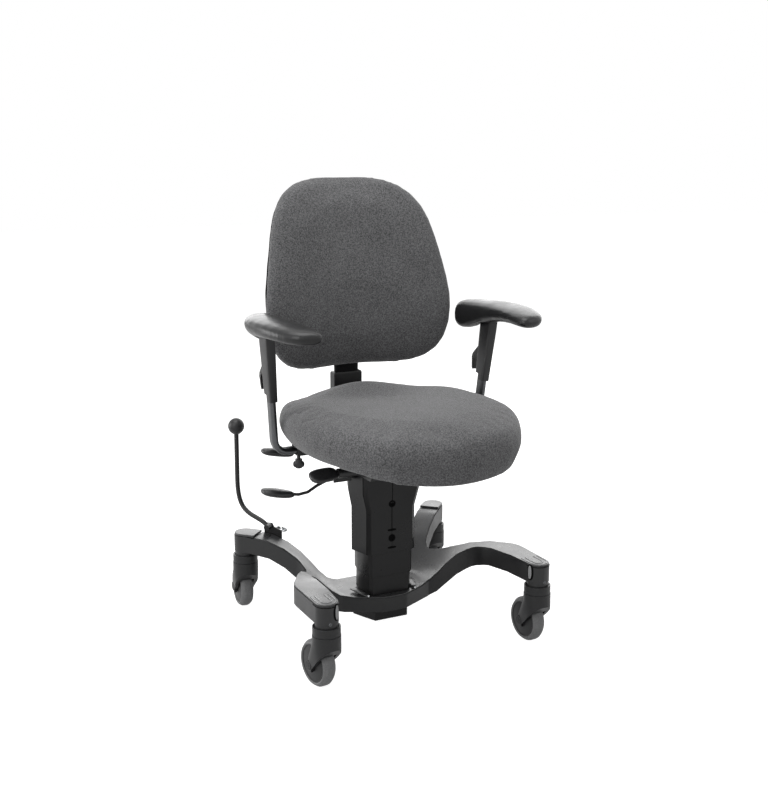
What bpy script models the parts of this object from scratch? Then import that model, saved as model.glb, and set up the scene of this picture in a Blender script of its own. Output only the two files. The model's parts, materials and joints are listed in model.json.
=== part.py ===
"""Activity chair: an upholstered seat, back and two arms on a telescoping column.

A cast four-legged base with swivel castors carries the column, and a hand lever at the rear
right leg pushes four brake pins down into the castors. Units are metres and +Z is up. The chair
faces -Y, the sitter's left is +X, and the origin is on the floor under the middle of the chair.
"""

from math import cos, exp, pi, radians, sin

import bmesh
import bpy
from mathutils import Matrix, Vector

# Fits
GAP = 0.0003             # between two faces that rest on each other
SLIDE_FIT = 0.0005       # between a part and the one it slides in
SPIN_FIT = 0.0004        # between a shaft and its bore

# Base
TRACK = 0.503            # left to right, between castor stems
WHEELBASE = 0.473        # front to rear, between castor stems
HUB_Y = 0.040            # middle of the dished hub, behind the middle of the base
HUB_TOP = 0.090
HUB_UNDERSIDE = 0.055
HUB_RADIUS = 0.100       # the dish is flat within this radius
LEG_TOP = 0.192
LEG_UNDERSIDE = 0.150
LEG_WIDTH = 0.050
POST_RADIUS = 0.0238     # round post over each castor
RISE_END = 0.310         # radius at which the legs reach their full height
ARCH_Y = -0.002          # crown of the arch between the front legs
HUB_FRONT = -0.045
HUB_REAR = 0.108
ARCH_CROWN_INSET = 0.1415    # ends of the arch's flat crown, from the stems
ARCH_SIDE_INSET = 0.0465     # where the arch turns down along the front legs
NOTCH_FROM_HUB = 0.1488  # corner between a front and a rear leg, along the rear leg's axis
LEG_ROOT_Y = -0.122      # where the front legs leave the hub
COVER_THICKNESS = 0.003
COVER_MARGIN = 0.0012    # how far the cover stays inside the casting's edge
CAP_LENGTH = 0.033       # joint of a rear end cap, ahead of its castor stem
CAP_THICKNESS = 0.0055

# Castors
WHEEL_DIAMETER = 0.100
WHEEL_WIDTH = 0.032
TYRE_DEPTH = 0.0115
HUB_WIDTH = 0.026
TRAIL = 0.033            # axle behind the stem
CASTOR_DIAMETER = 0.059
FORK_WIDTH = 0.047
FORK_POCKET = 0.0345     # width between the fork's blades
COLLAR_BOTTOM = 0.1225
COLLAR_HEIGHT = 0.0182
COLLAR_FLOOR = 0.0132    # thickness of the collar's floor
COLLAR_WALL = 0.004
STEM_RADIUS = 0.006
STEM_TOP = 0.168
STEM_FOOT = 0.1075
AXLE_RADIUS = 0.004
PIN_RADIUS = 0.0028      # brake pins
PIN_OFFSET = 0.0150      # brake pin from the stem
PIN_TOP = 0.156
PIN_STROKE = 0.0032

# Column
COLUMN_Y = 0.035
COLUMN_FOOT = 0.030
FOOT_FLOOR = 0.010
COLUMN_WALL = 0.0020
COLUMN_FRONT_DEPTH = 0.065   # front face of the upper tube, ahead of its side ridges
COLUMN_REAR_DEPTH = 0.040
COLUMN_REAR_NARROWING = 0.0075
COLUMN_RIDGE_Y = -0.008  # side ridges, from the column's middle
COLUMN_CORNER = 0.0062
UPPER_FRONT_HALF = 0.0575
UPPER_SIDE_HALF = 0.0730
UPPER_BOTTOM = 0.188
UPPER_TOP = 0.372
FLARE = 0.010            # how far the upper tube widens under the seat
FLARE_START = 0.290
FLARE_END = 0.330
MIDDLE_FRONT_HALF = 0.0535
MIDDLE_SIDE_HALF = 0.0578
MIDDLE_BOTTOM = 0.134
MIDDLE_TOP = 0.328
LOWER_FRONT_HALF = 0.0505
LOWER_SIDE_HALF = 0.0538
LOWER_TOP = 0.288
SEAM_WIDTH = 0.0014
LIFT_RADIUS = 0.014
LIFT_TOP = 0.280
LIFT_ROD_RADIUS = 0.005
LIFT_ROD_FOOT = 0.135
LIFT_ROD_DROP = 0.085    # bore left under the rod's foot

# Seat mechanism and seat
MECHANISM_HALF_WIDTH = 0.074
MECHANISM_FRONT = -0.085
MECHANISM_REAR = 0.150
MECHANISM_TOP = 0.411
MECHANISM_WALL = 0.003
TILT_Y = -0.010
TILT_Z = 0.4000
TILT_PIN_RADIUS = 0.005
EAR_THICKNESS = 0.005
EAR_RADIUS = 0.012
PLATE_UNDERSIDE = 0.4445
PLATE_THICKNESS = 0.004
PLATE_HALF_WIDTH = 0.140
PLATE_FRONT = -0.160
PLATE_REAR = 0.150
SEAT_SHELL_THICKNESS = 0.006
SEAT_SHELL_SHARE = 0.80  # shell outline against the cushion's
SEAT_HALF_WIDTH = 0.239
SEAT_FRONT = -0.345
SEAT_REAR = 0.181
SEAT_TOP = 0.540
SEAT_HEM_FRONT = 0.427
SEAT_HEM_REAR = 0.449
SEAT_DIP = 0.014
SEAT_MIDDLE_Y = -0.090

# Back
BAR_Y = 0.210
BAR_WIDTH = 0.050
BAR_THICKNESS = 0.008
BAR_TOP = 0.700
BACK_PIVOT_Y = 0.168
BACK_PIVOT_Z = 0.4270
BACK_PIN_RADIUS = 0.004
BACK_EYE_RADIUS = 0.0085
HINGE_EAR_THICKNESS = 0.005
BACK_SLEEVE_WIDTH = 0.074
BACK_SLEEVE_DEPTH = 0.027
BACK_SLEEVE_WALL = 0.0055
BACK_SLEEVE_BOTTOM = 0.452
BACK_SLEEVE_TOP = 0.562
BACK_SLEEVE_FLOOR = 0.010
CARRIER_BOTTOM = 0.485
CARRIER_TOP = 0.745
BACK_HALF_WIDTH = 0.223
BACK_BOTTOM = 0.583
BACK_TOP = 1.006
BACK_SURFACE_Y = 0.190   # front of the shell at mid width, low down
BACK_WRAP = 0.058        # how far the side edges come forward
BACK_LEAN = 0.055        # how far the top goes back
BACK_LEAN_START = 0.660
BACK_SHELL_THICKNESS = 0.005
BACK_PAD_THICKNESS = 0.050
BACK_PAD_SEAT = 0.0011   # between the cushion's cage and the shell
BACK_SHELL_SHARE = 0.990 # shell outline against the back's plan, inside the cushion's edge
BACK_RINGS = (0.82, 0.56, 0.26)   # shares of the outline that shell and cushion both follow
BACK_MIDDLE_Z = 0.780

# Arms
ARM_Y = 0.0320
ARM_RUN_Z = 0.4340
ARM_BEND_X = 0.2510      # where the tube's two straight runs would meet
ARM_LEAN_OUT = radians(4.4)
ARM_LEAN_FORWARD = radians(4.2)
ARM_TUBE_WIDTH = 0.028
ARM_TUBE_DEPTH = 0.014
ARM_BEND_RADIUS = 0.030
ARM_TUBE_LENGTH = 0.200  # of the upright, from the bend corner
ARM_INNER_END = 0.100
CLAMP_X = 0.196          # clamp screw under the receiver
ARM_SLEEVE_START = 0.1165
ARM_SLEEVE_LENGTH = 0.1420
ARM_SLEEVE_ROOF = 0.004
ARM_SLEEVE_STEP = 0.014
RECEIVER_END = 0.205
RECEIVER_WALL = 0.0022
ARM_SLEEVE_BACK = 0.0003 # the sleeve reaches further to the rear than to the front
TRIGGER_PIVOT_ALONG = 0.1900
TRIGGER_PIVOT_REAR = 0.0185
TRIGGER_HALF_WIDTH = 0.0072
TRIGGER_PIN_RADIUS = 0.0012
NECK_RADIUS = 0.010
NECK_HEIGHT = 0.009
PAD_SEAT_RADIUS = 0.0285  # flat under the pad, which turns on the sleeve's end
PAD_LENGTH = 0.295
PAD_WIDTH = 0.089
PAD_THICKNESS = 0.038
PAD_UNDERSIDE = 0.6975
PAD_BEND_RADIUS = 0.410
PAD_MIDDLE_Y = -0.0475
PAD_MIDDLE_X = 0.2800
PAD_HANG = 0.050         # how far the rear of the inner edge hangs down
PAD_DROOP = 0.007        # how far the front end sinks, the rear end half as far

# Levers and hand brake
HEIGHT_LEVER_PIVOT = (-0.1180, 0.012, 0.3660)
HEIGHT_LEVER_SAG = ((0, 0), (0.020, 0.0035), (0.045, 0.013), (0.066, 0.0245), (0.088, 0.027), (0.110, 0.023))
HEIGHT_PADDLE = (0.074, 0.030, 0.012)
HEIGHT_PADDLE_OUT = 0.137
HEIGHT_PADDLE_DOWN = 0.0165
BACK_LEVER_PIVOT = (-0.1560, 0.100, 0.4270)
BACK_LEVER_SAG = ((0, 0), (0.018, 0.008), (0.036, 0.0155), (0.060, 0.0135))
BACK_PADDLE = (0.070, 0.032, 0.012)
BACK_PADDLE_OUT = 0.064
BACK_PADDLE_DOWN = 0.0115
TILT_LEVER_Y = -0.048
TILT_LEVER_Z = 0.3930
TILT_LEVER_RADIUS = 0.0065
TILT_LEVER_X = -0.100        # its hinge point
TILT_ROD_END = -0.150
TILT_GRIP_END = -0.140
TILT_PADDLE_X = -0.167
TILT_PADDLE = (0.068, 0.032, 0.011)
LEVER_ROD_RADIUS = 0.0035
BARREL_RADIUS = 0.006
BARREL_LENGTH = 0.0126
CHEEK_THICKNESS = 0.0035
BRAKE_ROD_RADIUS = 0.0055
BRAKE_KNOB_RADIUS = 0.0200
BRAKE_BARREL_RADIUS = 0.0070
BRAKE_PIVOT_ALONG = 0.0523   # brake pivot from the rear right stem, toward the hub
BRAKE_PIVOT_Z = 0.2060
BRAKE_PLATE = 0.004
BRAKE_SCREW_INBOARD = 0.020  # wing screw from the brake pivot, toward the hub

# How finely round shapes are divided
BASE_STEPS = 34
WHEEL_STEPS = 20
COLLAR_STEPS = 16
SHAFT_STEPS = 12
PLAN_POINTS = 22         # points round a cushion's outline
SHELL_POINTS = 26        # points round the back shell's outline
ARC_STEP = radians(18)

BOTTOM_REACH = WHEELBASE / 2 + TRAIL + WHEEL_DIAMETER / 2
ORIGIN_SHIFT = -(SEAT_FRONT + BOTTOM_REACH) / 2
AXLE_Z = WHEEL_DIAMETER / 2
FORK_TOP = COLLAR_BOTTOM - GAP
SEAT_SHELL_BOTTOM = PLATE_UNDERSIDE + PLATE_THICKNESS + GAP
SEAT_CUSHION_BOTTOM = SEAT_SHELL_BOTTOM + SEAT_SHELL_THICKNESS + GAP
TILT_PIVOT = Vector((0, TILT_Y, TILT_Z))
BACK_PIVOT = Vector((0, BACK_PIVOT_Y, BACK_PIVOT_Z))

CORNERS = {
    "front_left": (1, -1),
    "front_right": (-1, -1),
    "rear_left": (1, 1),
    "rear_right": (-1, 1),
}
SIDES = {"left": 1, "right": -1}
CASTOR_TURN = {
    "front_left": radians(2),
    "front_right": radians(9),
    "rear_left": 0.0,
    "rear_right": radians(-5),
}


# Scene, materials and finished pieces

def clear_scene():
    """Remove whatever the scene holds."""
    for obj in list(bpy.data.objects):
        bpy.data.objects.remove(obj, do_unlink=True)


def new_collection(name):
    collection = bpy.data.collections.new(name)
    bpy.context.scene.collection.children.link(collection)
    return collection


def new_finish(name, colour, roughness, metallic=0.0):
    """A Principled material with a plain colour."""
    material = bpy.data.materials.new(name)
    material.use_nodes = True
    shader = material.node_tree.nodes["Principled BSDF"]
    shader.inputs["Base Color"].default_value = (*colour, 1.0)
    shader.inputs["Roughness"].default_value = roughness
    shader.inputs["Metallic"].default_value = metallic
    return material


clear_scene()
CHAIR = new_collection("activity_chair")
CUTTERS = new_collection("cutters")
CHAIR_FRAME = bpy.data.objects.new("chair_frame", None)
CHAIR_FRAME.location.y = ORIGIN_SHIFT
CHAIR.objects.link(CHAIR_FRAME)

CAST_GREY = new_finish("cast_grey", (0.030, 0.031, 0.033), 0.38)
COVER_GREY = new_finish("cover_grey", (0.050, 0.052, 0.055), 0.32)
COLUMN_BLACK = new_finish("column_black", (0.018, 0.018, 0.020), 0.34)
CASTOR_GREY = new_finish("castor_grey", (0.045, 0.047, 0.050), 0.50)
TYRE_GREY = new_finish("tyre_grey", (0.110, 0.112, 0.115), 0.72)
STEEL = new_finish("bright_steel", (0.60, 0.61, 0.62), 0.30, 1.0)
TUBE_GREY = new_finish("arm_tube_grey", (0.17, 0.175, 0.18), 0.35, 0.6)
BLACK_STEEL = new_finish("black_steel", (0.015, 0.015, 0.016), 0.45, 0.2)
BLACK_PLASTIC = new_finish("black_plastic", (0.014, 0.014, 0.015), 0.50)
PAD_BLACK = new_finish("arm_pad_black", (0.020, 0.020, 0.022), 0.36)
FABRIC = new_finish("charcoal_fabric", (0.085, 0.086, 0.090), 0.92)


def add_shape(mesh, place=(0, 0, 0)):
    """Hold a mesh as a hidden working shape in the chair's frame."""
    shape = bpy.data.objects.new(mesh.name, mesh)
    shape.location = place
    shape.parent = CHAIR_FRAME
    shape.hide_render = True
    shape.display_type = "WIRE"
    CUTTERS.objects.link(shape)
    return shape


def piece(name, shape, finish, pivot=None):
    """Make a shape into a named piece, with its origin on its joint's axis."""
    shape.name = name
    shape.data.name = name
    CUTTERS.objects.unlink(shape)
    CHAIR.objects.link(shape)
    shape.hide_render = False
    shape.display_type = "TEXTURED"
    shape.data.materials.append(finish)
    if pivot is not None:
        shape.data.transform(Matrix.Translation(shape.location - Vector(pivot)))
        shape.location = pivot
    return shape


def shade_round(mesh):
    mesh.shade_smooth()
    mesh.set_sharp_from_angle(angle=radians(35))


def boolean(shape, other, operation):
    modifier = shape.modifiers.new(operation.lower(), "BOOLEAN")
    modifier.operation = operation
    modifier.solver = "EXACT"
    modifier.object = other
    return shape


def cut(shape, *tools):
    for tool in tools:
        boolean(shape, tool, "DIFFERENCE")
    return shape


def join(shape, *others):
    for other in others:
        boolean(shape, other, "UNION")
    return shape


def common(shape, other):
    return boolean(shape, other, "INTERSECT")


# Outlines

def rounded(corners, closed=True):
    """Points of an outline given by corners (x, y) or (x, y, fillet radius)."""
    points = []
    count = len(corners)
    for index, corner in enumerate(corners):
        x, y = corner[:2]
        radius = corner[2] if len(corner) > 2 else 0.0
        at_end = not closed and index in (0, count - 1)
        if radius == 0.0 or at_end:
            points.append(Vector((x, y)))
            continue
        here = Vector((x, y))
        back = (Vector(corners[index - 1][:2]) - here).normalized()
        ahead = (Vector(corners[(index + 1) % count][:2]) - here).normalized()
        half = back.angle(ahead) / 2
        centre = here + (back + ahead).normalized() * radius / sin(half)
        start = here + back * radius / (sin(half) / cos(half)) - centre
        turn = pi - 2 * half
        side = 1 if back.x * ahead.y - back.y * ahead.x < 0 else -1
        steps = max(2, round(turn / ARC_STEP))
        for step in range(steps + 1):
            angle = side * turn * step / steps
            points.append(centre + Matrix.Rotation(angle, 2) @ start)
    tidy = [point for index, point in enumerate(points) if (point - points[index - 1]).length > 1e-5]
    return [(point.x, point.y) for point in tidy]


def mirrored(half):
    """Close a right-hand half outline (front to rear) with its mirror image."""
    left = [(-corner[0], *corner[1:]) for corner in reversed(half) if corner[0] > 1e-6]
    return half + left


def shrunk(outline, distance):
    """The outline moved inward by a distance; a negative one moves it outward."""
    moved = []
    count = len(outline)
    for index in range(count):
        before = Vector(outline[index - 1])
        here = Vector(outline[index])
        after = Vector(outline[(index + 1) % count])
        inward_before = Vector((-(here - before).y, (here - before).x)).normalized()
        inward_after = Vector((-(after - here).y, (after - here).x)).normalized()
        middle = (inward_before + inward_after).normalized()
        moved.append(tuple(here + middle * distance / max(0.3, middle.dot(inward_before))))
    return moved


def resampled(outline, count):
    """The outline as evenly spaced points, from its first point on."""
    loop = [Vector(point) for point in outline] + [Vector(outline[0])]
    lengths = [(loop[i + 1] - loop[i]).length for i in range(len(loop) - 1)]
    spacing = sum(lengths) / count
    points = []
    index = 0
    passed = 0.0
    for number in range(count):
        target = number * spacing
        while passed + lengths[index] < target - 1e-9:
            passed += lengths[index]
            index += 1
        share = (target - passed) / lengths[index]
        points.append(tuple(loop[index].lerp(loop[index + 1], share)))
    return points


def s_curve(start, leave, arrive, end, steps):
    """Points along a cubic curve between two heights."""
    points = []
    for step in range(steps + 1):
        t = step / steps
        weights = ((1 - t) ** 3, 3 * t * (1 - t) ** 2, 3 * t * t * (1 - t), t ** 3)
        points.append(tuple(
            sum(weight * corner[axis] for weight, corner in zip(weights, (start, leave, arrive, end)))
            for axis in (0, 1)
        ))
    return points


def flat_oval(width, depth, arc_steps=6):
    """Outline of a flat-oval tube: depth along the first axis, width along the second."""
    radius = depth / 2
    straight = (width - depth) / 2
    points = []
    for end, first in ((1, 0.0), (-1, pi)):
        for step in range(arc_steps + 1):
            angle = first + pi * step / arc_steps
            points.append((radius * cos(angle), end * straight + radius * sin(angle)))
    return points


def smooth_route(points, steps):
    """Points on a smooth curve through a tube's route."""
    route = [Vector(point) for point in points]
    route = [2 * route[0] - route[1]] + route + [2 * route[-1] - route[-2]]
    smooth = []
    for i in range(1, len(route) - 2):
        p0, p1, p2, p3 = route[i - 1:i + 3]
        for step in range(steps):
            t = step / steps
            bend = 2 * p0 - 5 * p1 + 4 * p2 - p3
            twist = 3 * p1 - p0 - 3 * p2 + p3
            smooth.append((2 * p1 + (p2 - p0) * t + bend * t * t + twist * t ** 3) / 2)
    smooth.append(route[-2])
    return smooth


# Solids

UPRIGHT = Matrix.Identity(3)                               # outline in X and Y, thickness along Z
SIDEWAYS = Matrix(((0, 0, 1), (1, 0, 0), (0, 1, 0)))       # outline in Y and Z, thickness along X
FACING = Matrix(((1, 0, 0), (0, 0, -1), (0, 1, 0)))        # outline in X and Z, thickness along Y


def mesh_of(shape):
    """The mesh that a working shape evaluates to; the shape is removed."""
    bpy.context.view_layer.update()
    mesh = bpy.data.meshes.new_from_object(shape.evaluated_get(bpy.context.evaluated_depsgraph_get()))
    mesh.transform(shape.matrix_basis)
    bpy.data.objects.remove(shape)
    return mesh


def welded(mesh):
    work = bmesh.new()
    work.from_mesh(mesh)
    bmesh.ops.remove_doubles(work, verts=work.verts, dist=1e-6)
    bmesh.ops.recalc_face_normals(work, faces=work.faces)
    work.to_mesh(mesh)
    work.free()
    return mesh


def block(size, centre, turn=None):
    """A box by its size and middle, turned about its middle if need be."""
    work = bmesh.new()
    bmesh.ops.create_cube(work, size=1.0)
    bmesh.ops.scale(work, vec=Vector(size), verts=work.verts)
    if turn is not None:
        bmesh.ops.rotate(work, cent=(0, 0, 0), matrix=turn, verts=work.verts)
    bmesh.ops.translate(work, vec=Vector(centre), verts=work.verts)
    mesh = bpy.data.meshes.new("block")
    work.to_mesh(mesh)
    work.free()
    return add_shape(mesh)


def soften(shape, width, steps=2):
    """Round a shape's edges."""
    modifier = shape.modifiers.new("soft_edges", "BEVEL")
    modifier.width = width
    modifier.segments = steps
    modifier.limit_method = "ANGLE"
    modifier.angle_limit = radians(40)
    return shape


def shaft(radius, start, end, steps=SHAFT_STEPS, end_radius=None):
    """A round bar, or a cone, between two points."""
    start = Vector(start)
    end = Vector(end)
    work = bmesh.new()
    bmesh.ops.create_cone(
        work, cap_ends=True, segments=steps, depth=(end - start).length,
        radius1=radius, radius2=radius if end_radius is None else end_radius,
    )
    turn = (end - start).to_track_quat("Z", "Y").to_matrix()
    bmesh.ops.rotate(work, cent=(0, 0, 0), matrix=turn, verts=work.verts)
    bmesh.ops.translate(work, vec=(start + end) / 2, verts=work.verts)
    mesh = bpy.data.meshes.new("shaft")
    work.to_mesh(mesh)
    work.free()
    shade_round(mesh)
    return add_shape(mesh)


def ball(radius, centre, steps=16):
    work = bmesh.new()
    bmesh.ops.create_uvsphere(work, u_segments=steps, v_segments=steps // 2, radius=radius)
    bmesh.ops.translate(work, vec=Vector(centre), verts=work.verts)
    mesh = bpy.data.meshes.new("ball")
    work.to_mesh(mesh)
    work.free()
    shade_round(mesh)
    return add_shape(mesh)


def turned(profile, steps, place=(0, 0, 0), axis="Z", closed=False):
    """A turned shape from a profile of (radius, height), which runs down its outer side."""
    work = bmesh.new()
    points = [work.verts.new((radius, 0, height)) for radius, height in profile]
    for first, second in zip(points, points[1:]):
        work.edges.new((first, second))
    if closed:
        work.edges.new((points[-1], points[0]))
    mesh = bpy.data.meshes.new("turned")
    work.to_mesh(mesh)
    work.free()
    shape = add_shape(mesh, place)
    if axis == "X":
        shape.rotation_euler = (0, radians(90), 0)
    screw = shape.modifiers.new("turn", "SCREW")
    screw.axis = "Z"
    screw.steps = steps
    screw.render_steps = steps
    screw.use_merge_vertices = True
    screw.merge_threshold = 1e-5
    return shape


def prism(outline, low, high, plane=UPRIGHT):
    """A flat outline with thickness, between two heights along the plane's normal."""
    curve = bpy.data.curves.new("outline", "CURVE")
    curve.dimensions = "2D"
    curve.fill_mode = "BOTH"
    curve.extrude = (high - low) / 2
    spline = curve.splines.new("POLY")
    spline.points.add(len(outline) - 1)
    for point, (x, y) in zip(spline.points, outline):
        point.co = (x, y, 0, 1)
    spline.use_cyclic_u = True
    mesh = mesh_of(add_shape(curve, (0, 0, (low + high) / 2)))
    mesh.transform(plane.to_4x4())
    return add_shape(welded(mesh))


def tube(route, radius, sides_level=2):
    """A round bar or wire along a route of points."""
    curve = bpy.data.curves.new("route", "CURVE")
    curve.dimensions = "3D"
    curve.bevel_depth = radius
    curve.bevel_resolution = sides_level
    curve.use_fill_caps = True
    spline = curve.splines.new("POLY")
    spline.points.add(len(route) - 1)
    for point, place in zip(spline.points, route):
        point.co = (*place, 1)
    mesh = welded(mesh_of(add_shape(curve)))
    shade_round(mesh)
    return add_shape(mesh)


def loft(rings, closed=False, name="loft"):
    """A skin over rings of points that match one by one, with flat ends unless closed."""
    work = bmesh.new()
    rows = [[work.verts.new(point) for point in ring] for ring in rings]
    if closed:
        rows.append(rows[0])
    count = len(rows[0])
    for lower, upper in zip(rows, rows[1:]):
        for i in range(count):
            j = (i + 1) % count
            work.faces.new((lower[i], lower[j], upper[j], upper[i]))
    if not closed:
        work.faces.new(list(reversed(rows[0])))
        work.faces.new(rows[-1])
    bmesh.ops.recalc_face_normals(work, faces=work.faces)
    mesh = bpy.data.meshes.new(name)
    work.to_mesh(mesh)
    work.free()
    shade_round(mesh)
    return add_shape(mesh)


def open_dome(rings, top):
    """An open surface over rings that narrow to one point."""
    work = bmesh.new()
    rows = [[work.verts.new(point) for point in ring] for ring in rings]
    peak = work.verts.new(top)
    count = len(rows[0])
    for i in range(count):
        j = (i + 1) % count
        for outer, inner in zip(rows, rows[1:]):
            work.faces.new((outer[i], outer[j], inner[j], inner[i]))
        work.faces.new((rows[-1][i], rows[-1][j], peak))
    mesh = bpy.data.meshes.new("dome")
    work.to_mesh(mesh)
    work.free()
    shade_round(mesh)
    return add_shape(mesh)


def subdivided(shape, levels=1):
    modifier = shape.modifiers.new("smooth_form", "SUBSURF")
    modifier.levels = levels
    modifier.render_levels = levels
    return shape


def group(*shapes):
    """Several separate shapes as one cutter."""
    work = bmesh.new()
    for shape in shapes:
        work.from_mesh(mesh_of(shape))
    mesh = bpy.data.meshes.new("group")
    work.to_mesh(mesh)
    work.free()
    return add_shape(mesh)


# Base

def stem(across, along):
    """Castor stem position of the corner on the given sides."""
    return Vector((across * TRACK / 2, along * WHEELBASE / 2))


def rear_leg_point(toward_hub, off_axis, across=1):
    """Point on a rear leg: distance from the stem toward the hub, and outward from its axis."""
    place = stem(1, 1) + (Vector((-1, -1)) * toward_hub + Vector((1, -1)) * off_axis) / 2 ** 0.5
    return Vector((across * place.x, place.y))


def dish_reach():
    """Radius of the dish, beyond the ends of the front legs."""
    return (stem(1, -1) - Vector((0, HUB_Y))).length + LEG_WIDTH


def dish_top(drop):
    """Radius and height of the dished top, from the hub's middle out past the castors."""
    rise = s_curve((HUB_RADIUS, HUB_TOP - drop), (0.155, HUB_TOP - drop),
                   (0.172, LEG_TOP - drop), (RISE_END, LEG_TOP - drop), 7)
    return [(0, HUB_TOP - drop), *rise, (dish_reach(), LEG_TOP - drop)]


def dish_underside():
    rise = s_curve((HUB_RADIUS + 0.015, HUB_UNDERSIDE), (0.165, HUB_UNDERSIDE),
                   (0.195, LEG_UNDERSIDE), (RISE_END - 0.010, LEG_UNDERSIDE), 6)
    return [(0, HUB_UNDERSIDE), *rise, (dish_reach(), LEG_UNDERSIDE)]


def base_corners(cut_rear_at=None):
    """Right-hand half of the base's plan, optionally with the rear leg cut off short."""
    half_leg = LEG_WIDTH / 2
    front = stem(1, -1)
    front_leg = [
        (0, HUB_FRONT),
        (0.030, HUB_FRONT + 0.002, 0.030),
        (front.x - ARCH_CROWN_INSET, ARCH_Y, 0.010),
        (front.x - ARCH_SIDE_INSET, ARCH_Y + 0.002, 0.085),
        (front.x - half_leg, front.y, 0.020),
        (front.x - half_leg, front.y - half_leg, half_leg * 0.98),
        (front.x + half_leg, front.y - half_leg, half_leg * 0.98),
        (front.x + half_leg, LEG_ROOT_Y, 0.060),
    ]
    hub_distance = (TRACK / 2 + WHEELBASE / 2 - HUB_Y) / 2 ** 0.5
    notch = (*rear_leg_point(hub_distance - NOTCH_FROM_HUB, half_leg), 0.040)
    if cut_rear_at is None:
        end = [(*rear_leg_point(-half_leg, half_leg), half_leg * 0.98),
               (*rear_leg_point(-half_leg, -half_leg), half_leg * 0.98)]
    else:
        end = [tuple(rear_leg_point(cut_rear_at, half_leg)), tuple(rear_leg_point(cut_rear_at, -half_leg))]
    inner = rear_leg_point(0, -half_leg)
    crotch = (inner.x - (inner.y - HUB_REAR), HUB_REAR, 0.030)
    return mirrored(front_leg + [notch, *end, crotch, (0, HUB_REAR)])


def column_section(front_half, side_half, step_in=0.0):
    """Ten-point outline of a column tube: flat front and rear, ridged sides, trimmed corners."""
    outline = [(0, step_in - COLUMN_FRONT_DEPTH)]
    for half_width, depth in ((front_half, step_in - COLUMN_FRONT_DEPTH),
                              (front_half - COLUMN_REAR_NARROWING, COLUMN_REAR_DEPTH - step_in)):
        slope = Vector((side_half - half_width, COLUMN_RIDGE_Y - depth)).normalized() * COLUMN_CORNER
        corner = [(half_width - COLUMN_CORNER, depth), (half_width + slope.x, depth + slope.y)]
        outline += corner if depth < 0 else [(side_half, COLUMN_RIDGE_Y), *reversed(corner)]
    return [(x, y + COLUMN_Y) for x, y in mirrored(outline[1:])]


COLUMN_STEP = COLUMN_WALL + SLIDE_FIT
LOWER_SECTION = column_section(LOWER_FRONT_HALF, LOWER_SIDE_HALF, 2 * COLUMN_STEP)
MIDDLE_SECTION = column_section(MIDDLE_FRONT_HALF, MIDDLE_SIDE_HALF, COLUMN_STEP)
UPPER_SECTION = column_section(UPPER_FRONT_HALF, UPPER_SIDE_HALF)
FLARED_SECTION = column_section(UPPER_FRONT_HALF + FLARE, UPPER_SIDE_HALF + FLARE * 0.8, -FLARE * 0.3)


def pin_place(across, along):
    """Brake pin beside its stem, toward the chair's middle."""
    place = stem(across, along)
    return Vector((place.x - across * PIN_OFFSET, place.y))


def make_base():
    """The casting: a dish cut to the plan, with a round post over each castor."""
    casting = turned(dish_top(COVER_THICKNESS + GAP) + dish_underside()[::-1], BASE_STEPS, (0, HUB_Y, 0))
    common(casting, prism(rounded(base_corners()), HUB_UNDERSIDE - 0.01, LEG_TOP + 0.01))
    post_foot = COLLAR_BOTTOM + COLLAR_FLOOR + GAP
    posts = []
    bores = []
    for across, along in CORNERS.values():
        x, y = stem(across, along)
        pin_x, pin_y = pin_place(across, along)
        posts.append(shaft(POST_RADIUS, (x, y, post_foot), (x, y, LEG_TOP - 0.010), 16))
        bores.append(shaft(STEM_RADIUS + GAP, (x, y, post_foot - 0.01), (x, y, STEM_TOP + 0.001)))
        bores.append(shaft(PIN_RADIUS + SPIN_FIT, (pin_x, pin_y, post_foot - 0.01),
                           (pin_x, pin_y, PIN_TOP + 0.001)))
    join(casting, group(*posts))
    cut(casting, group(*bores))
    cut(casting, prism(shrunk(LOWER_SECTION, -GAP), HUB_UNDERSIDE - 0.01, HUB_TOP + 0.01))
    piece("base_frame", casting, CAST_GREY)


def make_base_cover():
    """The skin over the casting, up to the joints with the rear end caps."""
    skin = turned(dish_top(0) + dish_top(COVER_THICKNESS)[::-1], BASE_STEPS, (0, HUB_Y, 0))
    plan = shrunk(rounded(base_corners(cut_rear_at=CAP_LENGTH + GAP)), COVER_MARGIN)
    common(skin, prism(plan, HUB_TOP - 0.02, LEG_TOP + 0.01))
    cut(skin, prism(shrunk(LOWER_SECTION, -0.0008), HUB_TOP - 0.02, HUB_TOP + 0.02))
    piece("base_cover", skin, COVER_GREY)


def make_end_caps():
    """Thicker plates on the ends of the rear legs."""
    bottom = LEG_TOP - COVER_THICKNESS
    edge = LEG_WIDTH / 2 - COVER_MARGIN
    for side, across in SIDES.items():
        corners = [
            (*rear_leg_point(CAP_LENGTH, edge, across), 0),
            (*rear_leg_point(-edge, edge, across), edge * 0.98),
            (*rear_leg_point(-edge, -edge, across), edge * 0.98),
            (*rear_leg_point(CAP_LENGTH, -edge, across), 0),
        ]
        if across < 0:
            corners.reverse()
        cap = prism(rounded(corners), bottom, bottom + CAP_THICKNESS)
        piece(f"rear_{side}_end_cap", cap, COVER_GREY)


# Castors

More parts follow.
